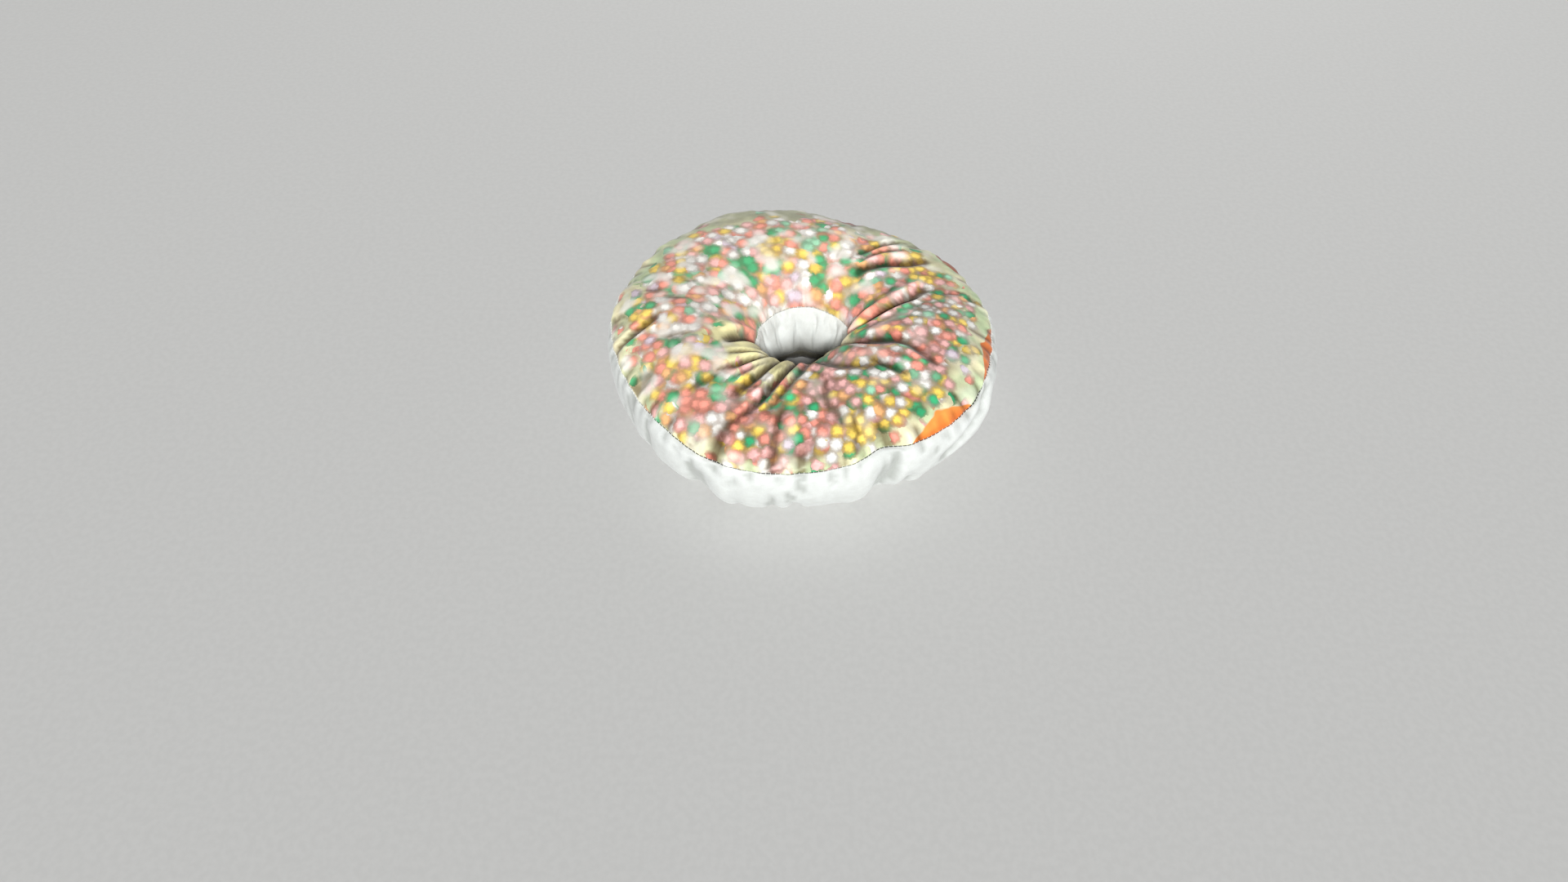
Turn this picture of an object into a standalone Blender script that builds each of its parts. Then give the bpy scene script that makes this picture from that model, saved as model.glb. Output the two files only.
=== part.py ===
"""A stuffed plush cushion in the form of a ring doughnut.

Four sewn panels wrap a ring of stuffing: a printed top, a white band round the
outside, a white tube through the hole and a white base. The cushion lies flat,
its hole stands along Z and the middle of its underside is the origin.
"""

from dataclasses import dataclass
from math import cos, exp, pi, radians, sin

import bmesh
import bpy
import numpy as np

# Driving dimensions, in metres
WIDTH = 0.400
HEIGHT = 0.1123
HOLE_WIDTH = 0.0946
FABRIC = 0.0016
SEAM_GAP = 0.0013
STUFFING_INSET = 0.0028

# Facets of the panels, round the ring and across each panel
ROUND_STEPS = 80
TUBE_STEPS = 3
TOP_STEPS = 10
BAND_STEPS = 4
BASE_STEPS = 7
# How strongly the rows crowd towards the seams, from 0 for even rows to 1
CROWDING = 0.6

# Stations of the mean section, as shares of half the width and of the height.
# They run up the hole, over the crest, down the side and back under the base.
FOOT = (0.170, 0.130)
TUBE_WAIST = (0.194, 0.350)
RIM = (HOLE_WIDTH / WIDTH, 0.603)
INNER_SHOULDER = (0.398, 0.921)
CREST = (0.621, 1.000)
OUTER_SHOULDER = (0.850, 0.932)
TOP_SEAM = (0.990, 0.776)
BELLY = (1.000, 0.405)
BASE_SEAM = (0.915, 0.110)
CONTACT_OUTSIDE = (0.775, -0.030)
CONTACT_INSIDE = (0.400, -0.030)
FOOT_BEND = (0.190, 0.030)
STATIONS = (
    FOOT, TUBE_WAIST, RIM, INNER_SHOULDER, CREST, OUTER_SHOULDER,
    TOP_SEAM, BELLY, BASE_SEAM, CONTACT_OUTSIDE, CONTACT_INSIDE, FOOT_BEND,
)

# Each wave is its count round the ring, its size in metres and the bearing of a high point
OUTLINE_WAVES = ((1, 0.0013, -165), (2, 0.0038, -40), (3, 0.0041, 7), (4, 0.0015, -39), (5, 0.0018, 34))
CREST_WAVES = ((1, 0.0014, -95), (2, 0.0025, -44), (3, 0.0033, -33))
HOLE_WAVES = ((2, 0.0028, 37), (3, 0.0008, 16))
HOLE_SHIFT = (0.0014, 0.0062)

# Share of the height over which a crease that crosses the rim dies away down the tube
TUBE_FADE = 0.6
# Shares of the band's width over which a tuck deepens, and over which it dies away under the base
TUCK_RISE = 0.6
TUCK_FADE = 0.35


@dataclass(frozen=True)
class Crease:
    """A valley that runs outwards over the top, from one bearing to another."""

    start_radius: float
    start_bearing: float
    end_radius: float
    end_bearing: float
    bend: float
    depth: float
    half_width: float

    def push(self, bearing, radius):
        """How far the crease moves the surface at a place, negative inwards."""
        along = (radius - self.start_radius) / (self.end_radius - self.start_radius)
        strength = smooth_step(along + 0.25, 0.0, 0.35) * (1.0 - smooth_step(along, 0.55, 1.1))
        run = min(max(along, 0.0), 1.0)
        middle = self.start_bearing + (self.end_bearing - self.start_bearing) * run
        middle += self.bend * 4.0 * run * (1.0 - run)
        across = radius * turn_between(bearing, radians(middle)) / self.half_width
        valley = exp(-across * across)
        ridges = exp(-(abs(across) - RIDGE_OFFSET) ** 2)
        return self.depth * strength * (RIDGE_SHARE * ridges - valley)


@dataclass(frozen=True)
class Tuck:
    """A dent that deepens down the side band and draws the base seam in."""

    bearing: float
    depth: float
    half_width: float

    def push(self, bearing, radius, drop):
        """How far the tuck moves the side at a share of the way down, negative inwards."""
        across = radius * turn_between(bearing, radians(self.bearing)) / self.half_width
        strength = smooth_step(drop, 0.0, TUCK_RISE) * (1.0 - smooth_step(drop, 1.0, 1.0 + TUCK_FADE))
        return -self.depth * exp(-across * across) * strength


# Beside a valley the fabric stands up in two ridges
RIDGE_OFFSET = 1.9
RIDGE_SHARE = 0.35

CREASES = (
    Crease(0.052, -14, 0.130, 11, 2.5, 0.0075, 0.0100),
    Crease(0.062, 62, 0.172, 33, -7.0, 0.0060, 0.0100),
    Crease(0.118, 55, 0.168, 50, 0.0, 0.0030, 0.0070),
    Crease(0.050, 203, 0.088, 215, 0.0, 0.0060, 0.0080),
    Crease(0.060, 237, 0.114, 231, 0.0, 0.0040, 0.0060),
    Crease(0.064, 254, 0.140, 241, 0.0, 0.0050, 0.0065),
    Crease(0.074, 264, 0.162, 247, -3.5, 0.0045, 0.0065),
    Crease(0.080, 271, 0.148, 255, -2.0, 0.0035, 0.0065),
    Crease(0.052, -42, 0.122, -24, 0.0, 0.0045, 0.0120),
    Crease(0.060, -82, 0.128, -46, 0.0, 0.0030, 0.0130),
    Crease(0.148, 247, 0.192, 249, 0.0, 0.0035, 0.0080),
    Crease(0.150, 263, 0.192, 262, 0.0, 0.0025, 0.0080),
)
TUCKS = (
    Tuck(-65, 0.0090, 0.0160),
    Tuck(-91, 0.0050, 0.0080),
    Tuck(-107, 0.0020, 0.0090),
    Tuck(-118, 0.0050, 0.0150),
    Tuck(-137, 0.0030, 0.0110),
    Tuck(-22, 0.0025, 0.0120),
    Tuck(28, 0.0025, 0.0120),
    Tuck(96, 0.0025, 0.0120),
    Tuck(160, 0.0025, 0.0120),
)

COLLECTION = "doughnut_cushion"


def smooth_step(value, low, high):
    """Rises smoothly from 0 at low to 1 at high."""
    share = min(max((value - low) / (high - low), 0.0), 1.0)
    return share * share * (3.0 - 2.0 * share)


def turn_between(bearing, other):
    """The shorter signed turn from one bearing to another, in radians."""
    return (bearing - other + pi) % (2.0 * pi) - pi


def wave_sum(waves, bearing):
    """The sum of waves round the ring at a bearing."""
    return sum(size * cos(count * (bearing - radians(high))) for count, size, high in waves)


class Section:
    """The mean section of the ring as a smooth closed curve through its stations."""

    def __init__(self):
        points = np.array([(r * WIDTH / 2.0, z * HEIGHT) for r, z in STATIONS])
        chords = np.linalg.norm(np.roll(points, -1, axis=0) - points, axis=1)
        self.points = points
        self.chords = chords
        self.marks = np.concatenate(([0.0], np.cumsum(chords)))
        self.slopes = self.solve_slopes()

    def solve_slopes(self):
        """The slope at each station that keeps the curvature continuous."""
        count = len(self.points)
        system = np.zeros((count, count))
        target = np.zeros((count, 2))
        for i in range(count):
            before, after = self.chords[i - 1], self.chords[i]
            system[i, i - 1] = after
            system[i, i] = 2.0 * (before + after)
            system[i, (i + 1) % count] = before
            rise_before = (self.points[i] - self.points[i - 1]) / before
            rise_after = (self.points[(i + 1) % count] - self.points[i]) / after
            target[i] = 3.0 * (after * rise_before + before * rise_after)
        return np.linalg.solve(system, target)

    def place(self, distance):
        """Radius, height and outward direction at a distance along the curve."""
        distance %= self.marks[-1]
        i = int(np.searchsorted(self.marks, distance, side="right")) - 1
        j = (i + 1) % len(self.points)
        chord = self.chords[i]
        t = (distance - self.marks[i]) / chord
        start, end = self.points[i], self.points[j]
        leave, arrive = self.slopes[i] * chord, self.slopes[j] * chord
        spot = start * (2 * t**3 - 3 * t**2 + 1) + leave * (t**3 - 2 * t**2 + t)
        spot = spot + end * (3 * t**2 - 2 * t**3) + arrive * (t**3 - t**2)
        slope = (start - end) * (6 * t**2 - 6 * t) + leave * (3 * t**2 - 4 * t + 1)
        slope = slope + arrive * (3 * t**2 - 2 * t)
        slope = slope / np.linalg.norm(slope)
        return spot, (-slope[1], slope[0])

    def mark(self, station):
        """The distance along the curve of a station."""
        return self.marks[STATIONS.index(station)]


SECTION = Section()


def fold_at(bearing, radius, distance, height):
    """How far the creases and tucks move the surface at a place."""
    rim, seam = SECTION.mark(RIM), SECTION.mark(TOP_SEAM)
    base = SECTION.mark(BASE_SEAM)
    if distance > seam:
        drop = (distance - seam) / (base - seam)
        return sum(tuck.push(bearing, radius, drop) for tuck in TUCKS)
    fade = 1.0
    if distance < rim:
        fade = smooth_step(height / HEIGHT, RIM[1] - TUBE_FADE, RIM[1])
    return fade * sum(crease.push(bearing, radius) for crease in CREASES)


def surface_point(bearing, distance, inset):
    """A point of the cushion's surface, or of the surface a little way inside it."""
    (radius, height), (out, up) = SECTION.place(distance)
    hole_radius, belly_radius = HOLE_WIDTH / 2.0, WIDTH / 2.0
    outward = min(max((radius - hole_radius) / (belly_radius - hole_radius), 0.0), 1.0)
    push = fold_at(bearing, radius, distance % SECTION.marks[-1], height) - inset
    radius += wave_sum(OUTLINE_WAVES, bearing) * outward
    radius += wave_sum(HOLE_WAVES, bearing) * (1.0 - outward) ** 2
    height += wave_sum(CREST_WAVES, bearing) * height / HEIGHT
    radius += out * push
    height += up * push
    x = radius * cos(bearing) + HOLE_SHIFT[0] * (1.0 - outward)
    y = radius * sin(bearing) + HOLE_SHIFT[1] * (1.0 - outward)
    return x, y, max(height, inset)


def wrap_grid(distances, inset):
    """Bends a flat grid round the ring, one row of vertices for each distance."""
    shape = bmesh.new()
    rows = len(distances) - 1
    bmesh.ops.create_grid(shape, x_segments=ROUND_STEPS, y_segments=rows, size=0.5)
    for vertex in shape.verts:
        column = round((vertex.co.x + 0.5) * ROUND_STEPS) % ROUND_STEPS
        row = round((vertex.co.y + 0.5) * rows)
        # Clockwise, so that the faces look outwards
        bearing = -2.0 * pi * column / ROUND_STEPS
        vertex.co = surface_point(bearing, distances[row], inset)
    bmesh.ops.remove_doubles(shape, verts=shape.verts, dist=1e-6)
    return shape


def add_object(name, shape, material, collection):
    """Makes a named object of a mesh in the making."""
    mesh = bpy.data.meshes.new(name)
    shape.to_mesh(mesh)
    shape.free()
    mesh.materials.append(material)
    mesh.shade_smooth()
    piece = bpy.data.objects.new(name, mesh)
    collection.objects.link(piece)
    return piece


def eased_distances(start, end, steps):
    """Distances along the section from start to end, closer together near the seams."""
    distances = []
    for step in range(steps + 1):
        even = step / steps
        crowded = (1.0 - cos(pi * even)) / 2.0
        distances.append(start + (end - start) * (even + (crowded - even) * CROWDING))
    return distances


def add_panel(name, start, end, steps, material, collection):
    """A sewn panel: an open strip of the surface with the fabric's thickness."""
    half_gap = SEAM_GAP / 2.0
    distances = eased_distances(start + half_gap, end - half_gap, steps)
    panel = add_object(name, wrap_grid(distances, 0.0), material, collection)
    thickness = panel.modifiers.new("fabric", "SOLIDIFY")
    thickness.thickness = FABRIC
    thickness.offset = -1.0
    return panel


def add_stuffing(seams, material, collection):
    """The ring of stuffing: one closed body just inside the panels."""
    distances = []
    for start, end, steps in seams:
        distances += eased_distances(start, end, steps)[:-1]
    distances.append(seams[0][0])
    shape = wrap_grid(distances, STUFFING_INSET)
    bmesh.ops.recalc_face_normals(shape, faces=shape.faces)
    return add_object("stuffing", shape, material, collection)


def add_material(name, colour, roughness):
    """A plain fabric finish."""
    material = bpy.data.materials.new(name)
    material.use_nodes = True
    shader = material.node_tree.nodes["Principled BSDF"]
    shader.inputs["Base Color"].default_value = (*colour, 1.0)
    shader.inputs["Roughness"].default_value = roughness
    shader.inputs["Metallic"].default_value = 0.0
    material.diffuse_color = (*colour, 1.0)
    return material


def stand_on_origin(pieces):
    """Moves the pieces together so that the origin is under the middle of them."""
    bpy.context.view_layer.update()
    corners = np.array([corner[:] for piece in pieces for corner in piece.bound_box])
    middle = (corners.min(axis=0) + corners.max(axis=0)) / 2.0
    for piece in pieces:
        piece.location = (-middle[0], -middle[1], 0.0)


def clear_scene():
    """Removes whatever objects the scene starts with."""
    for item in list(bpy.data.objects):
        bpy.data.objects.remove(item, do_unlink=True)


def build_cushion():
    """Builds the four panels and the stuffing that they wrap."""
    clear_scene()
    collection = bpy.data.collections.new(COLLECTION)
    bpy.context.scene.collection.children.link(collection)
    printed = add_material("printed_plush", (0.72, 0.55, 0.38), 0.90)
    white = add_material("white_plush", (0.84, 0.85, 0.84), 0.92)
    wadding = add_material("wadding", (0.88, 0.87, 0.83), 0.95)
    foot, rim = SECTION.mark(FOOT), SECTION.mark(RIM)
    seam, base = SECTION.mark(TOP_SEAM), SECTION.mark(BASE_SEAM)
    back_at_foot = SECTION.marks[-1]
    seams = (
        (foot, rim, TUBE_STEPS),
        (rim, seam, TOP_STEPS),
        (seam, base, BAND_STEPS),
        (base, back_at_foot, BASE_STEPS),
    )
    names = ("hole_tube", "printed_top", "side_band", "base_panel")
    finishes = (white, printed, white, white)
    for name, finish, (start, end, steps) in zip(names, finishes, seams):
        add_panel(name, start, end, steps, finish, collection)
    add_stuffing(seams, wadding, collection)
    stand_on_origin(collection.objects)


build_cushion()
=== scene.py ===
"""Looks of a stuffed doughnut cushion: four sewn plush panels round a ring of wadding.

One ring form gives every surface its place. Its mean section is a smooth closed curve, waves
bend it out of round, and creases run out of the hole over the top. A short cloth simulation
swells the panels between their seams. The top panel carries a print of icing and sprinkles.
"""

import logging
from dataclasses import dataclass
from enum import Enum
from math import atan, cos, pi, radians, sin

import bpy
import numpy as np
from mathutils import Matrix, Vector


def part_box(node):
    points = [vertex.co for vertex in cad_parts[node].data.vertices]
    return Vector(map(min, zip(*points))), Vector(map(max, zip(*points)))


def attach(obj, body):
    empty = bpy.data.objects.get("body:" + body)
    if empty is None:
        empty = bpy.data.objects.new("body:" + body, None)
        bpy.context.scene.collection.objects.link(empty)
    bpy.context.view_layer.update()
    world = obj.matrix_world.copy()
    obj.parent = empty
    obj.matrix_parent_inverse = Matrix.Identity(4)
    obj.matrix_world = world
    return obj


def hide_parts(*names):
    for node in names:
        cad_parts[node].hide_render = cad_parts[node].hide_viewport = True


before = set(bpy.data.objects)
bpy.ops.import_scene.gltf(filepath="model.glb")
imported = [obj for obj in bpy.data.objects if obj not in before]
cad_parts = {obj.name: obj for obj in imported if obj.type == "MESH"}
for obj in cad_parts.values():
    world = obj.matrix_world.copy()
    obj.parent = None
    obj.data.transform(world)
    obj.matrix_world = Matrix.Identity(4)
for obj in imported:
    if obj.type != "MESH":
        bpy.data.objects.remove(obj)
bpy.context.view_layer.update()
LOG = logging.getLogger("doughnut_cushion")
PLAN = "panel_plan"
VALLEY = "valley"
FROM_SEAM = "from_seam"
HOLE_SHADE = "hole_shade"
SUNKEN = "sunken"
RAISED = "raised"
ACROSS = "across"
HELD = "held"
BODY = "root"
TINY = 1e-9
Colour = tuple[float, float, float, float]


class Panel(Enum):
    """The four sewn panels, by the CAD node that each one stands for."""

    TUBE = "hole_tube"
    TOP = "printed_top"
    BAND = "side_band"
    BASE = "base_panel"


def smooth_step(value: np.ndarray, low: float, high: float) -> np.ndarray:
    """Rises smoothly from 0 at low to 1 at high.

    Args:
        value: the values to shape.
        low: where the rise starts.
        high: where the rise ends.

    Returns:
        The shaped values, from 0 to 1.
    """
    share = np.clip((value - low) / (high - low), 0.0, 1.0)
    return share * share * (3.0 - 2.0 * share)


def turn_between(bearing: np.ndarray, other: np.ndarray) -> np.ndarray:
    """The shorter signed turn from one bearing to another, in radians."""
    return (bearing - other + pi) % (2.0 * pi) - pi


def pleat(across: np.ndarray, ridge: float, ridge_offset: float = 1.8) -> np.ndarray:
    """The section of a pleat: a valley with a low ridge on each side of it.

    Args:
        across: distances from its middle, in half widths.
        ridge: the height of the ridges, as a share of the valley's depth.
        ridge_offset: how far out the ridges stand, in half widths.

    Returns:
        The push, near -1 at the bottom of the valley.
    """
    ridges = np.exp(-(np.abs(across) - ridge_offset) ** 2)
    return ridge * ridges - np.exp(-across * across)


@dataclass(frozen=True)
class Wave:
    """A wave round the ring: its count, its size in metres and the bearing of a high point."""

    count: int
    size: float
    high_bearing: float

    def at(self, bearing: np.ndarray) -> np.ndarray:
        """The wave's height at each bearing, in metres."""
        return self.size * np.cos(self.count * (bearing - radians(self.high_bearing)))


@dataclass(frozen=True)
class Crease:
    """A valley that runs outwards over the top, from one bearing to another."""

    start_radius: float
    start_bearing: float
    end_radius: float
    end_bearing: float
    bend: float
    depth: float
    half_width: float
    ridge_offset: float = 1.9
    ridge_share: float = 0.35
    lead: float = 0.25
    rise: float = 0.35
    fade: tuple[float, float] = (0.55, 1.1)

    def shape(self, bearing: np.ndarray, radius: np.ndarray) -> tuple[np.ndarray, np.ndarray]:
        """How the crease bends the surface.

        Args:
            bearing: bearings round the ring, in radians.
            radius: distances from the ring's axis, in metres.

        Returns:
            The push in metres, negative inwards, and the share of the valley from 0 to 1.
        """
        along = (radius - self.start_radius) / (self.end_radius - self.start_radius)
        strength = smooth_step(along + self.lead, 0.0, self.rise) * (1.0 - smooth_step(along, *self.fade))
        run = np.clip(along, 0.0, 1.0)
        middle = self.start_bearing + (self.end_bearing - self.start_bearing) * run
        middle = middle + self.bend * 4.0 * run * (1.0 - run)
        across = radius * turn_between(bearing, np.radians(middle)) / self.half_width
        valley = np.exp(-across * across) * strength
        ridges = np.exp(-(np.abs(across) - self.ridge_offset) ** 2) * strength
        return self.depth * (self.ridge_share * ridges - valley), valley


@dataclass(frozen=True)
class Tuck:
    """A dent that deepens down the side band and draws the base seam in."""

    bearing: float
    depth: float
    half_width: float
    lean: float = 0.0
    start: float = 0.0
    full: float = 0.6
    fade: float = 0.35
    ridge: float = 0.25

    def shape(self, bearing: np.ndarray, radius: np.ndarray, drop: np.ndarray) -> np.ndarray:
        """How deep the tuck is.

        Args:
            bearing: bearings round the ring, in radians.
            radius: distances from the ring's axis, in metres.
            drop: the share of the way down the band, 1 at the base seam.

        Returns:
            The push in metres, negative inwards.
        """
        middle = self.bearing + self.lean * (1.0 - drop)
        across = radius * turn_between(bearing, np.radians(middle)) / self.half_width
        strength = smooth_step(drop, self.start, self.full)
        strength = strength * (1.0 - smooth_step(drop, 1.0, 1.0 + self.fade))
        return self.depth * strength * pleat(across, self.ridge)


@dataclass(frozen=True)
class Pucker:
    """An upright dent in the wall of the hole, deepest halfway up."""

    bearing: float
    depth: float
    half_width: float
    lean: float = 0.0

    def shape(self, bearing: np.ndarray, radius: np.ndarray, rise: np.ndarray) -> np.ndarray:
        """How deep the pucker is.

        Args:
            bearing: bearings round the ring, in radians.
            radius: distances from the ring's axis, in metres.
            rise: the share of the way up the tube.

        Returns:
            The push in metres, negative inwards.
        """
        middle = self.bearing + self.lean * (rise - 0.5)
        across = radius * turn_between(bearing, np.radians(middle)) / self.half_width
        return -self.depth * np.exp(-across * across) * np.sin(pi * np.clip(rise, 0.0, 1.0))


@dataclass(frozen=True)
class SeamLift:
    """A place where the seam between print and band is drawn up, in metres along the section."""

    bearing: float
    rise: float
    half_angle: float

    def at(self, bearing: np.ndarray) -> np.ndarray:
        """How far the seam is drawn up at each bearing, in metres."""
        share = turn_between(bearing, radians(self.bearing)) / radians(self.half_angle)
        return self.rise * np.exp(-share * share)


@dataclass(frozen=True)
class BandFold:
    """A long fold that runs along the side band, from one bearing to another."""

    start_bearing: float
    start_drop: float
    end_bearing: float
    end_drop: float
    depth: float
    half_width: float
    rise: tuple[float, float] = (-0.1, 0.25)
    fade: tuple[float, float] = (0.75, 1.1)
    ridge: float = 0.35

    def shape(self, bearing: np.ndarray, drop: np.ndarray) -> np.ndarray:
        """How deep the fold is.

        Args:
            bearing: bearings round the ring, in radians.
            drop: the share of the way down the band, 1 at the base seam.

        Returns:
            The push in metres, negative inwards.
        """
        turn = radians(self.end_bearing - self.start_bearing)
        run = turn_between(bearing, radians(self.start_bearing)) / turn
        middle = self.start_drop + (self.end_drop - self.start_drop) * run
        across = (drop - middle) / self.half_width
        strength = smooth_step(run, *self.rise) * (1.0 - smooth_step(run, *self.fade))
        return self.depth * strength * pleat(across, self.ridge)


class SectionCurve:
    """The mean section of the ring as a smooth closed curve through its stations."""

    def __init__(self, points: np.ndarray) -> None:
        """Fits the curve.

        Args:
            points: the stations as rows of radius and height, in metres.
        """
        self.points = points
        self.chords = np.linalg.norm(np.roll(points, -1, axis=0) - points, axis=1)
        self.marks = np.concatenate(([0.0], np.cumsum(self.chords)))
        self.slopes = self.solve_slopes()

    @property
    def length(self) -> float:
        """The length of the whole curve, in metres."""
        return float(self.marks[-1])

    def solve_slopes(self) -> np.ndarray:
        """Finds the slope at each station that keeps the curvature continuous.

        Returns:
            One slope for each station.
        """
        count = len(self.points)
        system = np.zeros((count, count))
        target = np.zeros((count, 2))
        for i in range(count):
            before, after = self.chords[i - 1], self.chords[i]
            system[i, i - 1] = after
            system[i, i] = 2.0 * (before + after)
            system[i, (i + 1) % count] = before
            rise_before = (self.points[i] - self.points[i - 1]) / before
            rise_after = (self.points[(i + 1) % count] - self.points[i]) / after
            target[i] = 3.0 * (after * rise_before + before * rise_after)
        return np.linalg.solve(system, target)

    def place(self, distance: np.ndarray) -> tuple[np.ndarray, np.ndarray]:
        """Finds places on the curve.

        Args:
            distance: distances along the curve, in metres.

        Returns:
            Radius and height, and the direction that points out of the cushion.
        """
        distance = distance % self.marks[-1]
        i = np.clip(np.searchsorted(self.marks, distance, side="right") - 1, 0, len(self.chords) - 1)
        j = (i + 1) % len(self.points)
        chord = self.chords[i][..., None]
        t = (distance - self.marks[i])[..., None] / chord
        start, end = self.points[i], self.points[j]
        leave, arrive = self.slopes[i] * chord, self.slopes[j] * chord
        spot = start * (2 * t**3 - 3 * t**2 + 1) + leave * (t**3 - 2 * t**2 + t)
        spot = spot + end * (3 * t**2 - 2 * t**3) + arrive * (t**3 - t**2)
        slope = (start - end) * (6 * t**2 - 6 * t) + leave * (3 * t**2 - 4 * t + 1)
        slope = slope + arrive * (3 * t**2 - 2 * t)
        slope = slope / np.linalg.norm(slope, axis=-1, keepdims=True)
        return spot, np.stack([-slope[..., 1], slope[..., 0]], axis=-1)


@dataclass
class CushionForm:
    """The shape of the whole cushion, as a rule from bearing and distance to a point."""

    width: float = 0.400
    height: float = 0.1123
    hole_width: float = 0.0946
    rim_height: float = 0.603
    outline_waves: tuple[Wave, ...] = (
        Wave(1, 0.0013, -165), Wave(2, 0.0038, -40), Wave(3, 0.0041, 7), Wave(4, 0.0015, -39),
        Wave(5, 0.0018, 34),
    )
    crest_waves: tuple[Wave, ...] = (Wave(1, 0.0014, -95), Wave(2, 0.0025, -44), Wave(3, 0.0033, -33))
    hole_waves: tuple[Wave, ...] = (Wave(2, 0.0028, 37), Wave(3, 0.0008, 16))
    hole_shift: tuple[float, float] = (0.0014, 0.0062)
    tube_fade: float = 0.6
    tube_gather_share: float = 0.25
    full_valley: float = 0.006
    rim_gather_size: float = 0.0003
    rim_gather_reach: float = 0.016
    seam_gather_size: float = 0.0004
    seam_gather_reach: float = 0.015
    gather_power: float = 1.5
    lump_size: float = 0.0009
    lump_share: float = 0.6
    creases: tuple[Crease, ...] = (
        Crease(0.052, -8, 0.138, 18, 3.0, 0.0125, 0.0060),
        Crease(0.094, 49, 0.175, 35.5, -4.0, 0.0050, 0.0066),
        Crease(0.118, 56, 0.180, 50, 0.0, 0.0034, 0.0040),
        Crease(0.105, 53, 0.168, 43.5, 0.0, 0.0030, 0.0036),
        Crease(0.050, 200, 0.092, 212, 2.0, 0.0085, 0.0070),
        Crease(0.056, 243, 0.118, 230, 0.5, 0.0056, 0.0036),
        Crease(0.056, 254.5, 0.142, 241, 0.0, 0.0068, 0.0042),
        Crease(0.062, 265.5, 0.165, 248, -0.5, 0.0066, 0.0042),
        Crease(0.078, 273, 0.150, 257, -2.0, 0.0038, 0.0040),
        Crease(0.058, 236, 0.106, 221, 0.5, 0.0030, 0.0026),
        Crease(0.062, 249, 0.128, 236, 0.0, 0.0034, 0.0027),
        Crease(0.066, 260, 0.136, 245, 0.0, 0.0036, 0.0028),
        Crease(0.052, -42, 0.122, -24, 0.0, 0.0056, 0.0095),
        Crease(0.060, -82, 0.128, -46, 0.0, 0.0042, 0.0105),
        Crease(0.104, -50, 0.148, -43, 0.0, 0.0030, 0.0042),
        Crease(0.104, -27, 0.156, -33, 0.0, 0.0026, 0.0045),
        Crease(0.138, 245, 0.228, 249, 0.0, 0.0020, 0.0066),
        Crease(0.142, 263, 0.228, 262, 0.0, 0.0014, 0.0054),
        Crease(0.155, 187, 0.200, 194.5, 0.0, 0.0050, 0.0048),
    )
    tucks: tuple[Tuck, ...] = (
        Tuck(-65, 0.0080, 0.0150),
        Tuck(-69.5, 0.0055, 0.0050, 5.0, 0.20),
        Tuck(-64.5, 0.0075, 0.0042, 3.0, -0.10),
        Tuck(-61, 0.0045, 0.0038, -1.5, 0.05),
        Tuck(-57, 0.0050, 0.0075, 0.0, 0.35),
        Tuck(-91, 0.0060, 0.0050, 0.0, 0.45, 1.0),
        Tuck(-98, 0.0024, 0.0042, 1.5, 0.05),
        Tuck(-107, 0.0022, 0.0070, -1.0),
        Tuck(-118, 0.0050, 0.0140),
        Tuck(-122, 0.0020, 0.0050, 2.0),
        Tuck(-137, 0.0030, 0.0110),
        Tuck(-22, 0.0030, 0.0100),
        Tuck(-12, 0.0022, 0.0050, 3.0),
        Tuck(28, 0.0025, 0.0120),
        Tuck(60, 0.0020, 0.0070, 2.0),
        Tuck(96, 0.0025, 0.0120),
        Tuck(130, 0.0020, 0.0080, -2.0),
        Tuck(160, 0.0025, 0.0120),
        Tuck(190, 0.0020, 0.0080),
    )
    puckers: tuple[Pucker, ...] = (
        Pucker(163, 0.0030, 0.0030),
        Pucker(36, 0.0016, 0.0040, 14),
        Pucker(20, 0.0020, 0.0035, 18),
    )
    band_folds: tuple[BandFold, ...] = (
        BandFold(-50, 0.42, -24, 0.08, 0.0068, 0.085),
        BandFold(-57, 0.68, -20, 0.38, 0.0050, 0.085),
        BandFold(-32, 0.09, -12, 0.10, 0.0024, 0.045),
        BandFold(-150, 0.55, -124, 0.66, 0.0018, 0.060),
    )
    seam_lifts: tuple[SeamLift, ...] = (
        SeamLift(-66, 0.0085, 5.5), SeamLift(-20, 0.0048, 10.0), SeamLift(-131, 0.0042, 11.0),
        SeamLift(-90, -0.0020, 16.0), SeamLift(177, -0.0062, 15.0),
    )
    seam_dip: float = 0.0016
    seam_half_width: float = 0.0034
    plan_stops: int = 1200
    fit_columns: int = 80
    fit_rows: int = 9
    seed: int = 11

    def __post_init__(self) -> None:
        """Fits the section and draws the phases of the small gathers."""
        stations = {
            "foot": (0.170, 0.130),
            "tube_waist": (0.194, 0.350),
            "rim": (self.hole_width / self.width, self.rim_height),
            "inner_shoulder": (0.398, 0.921),
            "crest": (0.621, 1.000),
            "outer_shoulder": (0.850, 0.932),
            "top_seam": (0.990, 0.776),
            "belly": (1.000, 0.405),
            "base_seam": (0.893, 0.122),
            "contact_outside": (0.755, -0.030),
            "contact_inside": (0.400, -0.030),
            "foot_bend": (0.190, 0.030),
        }
        shares = np.array(list(stations.values()))
        self.section = SectionCurve(shares * (self.width / 2.0, self.height))
        self.marks = dict(zip(stations, self.section.marks))
        draw = np.random.default_rng(self.seed)
        self.rim_gathers = self.draw_waves(draw, (17, 23, 31, 41), self.rim_gather_size)
        self.seam_gathers = self.draw_waves(draw, (29, 43, 61, 83), self.seam_gather_size)
        self.lump_waves = [self.draw_waves(draw, (3, 5, 8, 13), self.lump_size) for _ in range(3)]
        self.shift = np.zeros(3)
        self.shift = self.find_shift()

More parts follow.
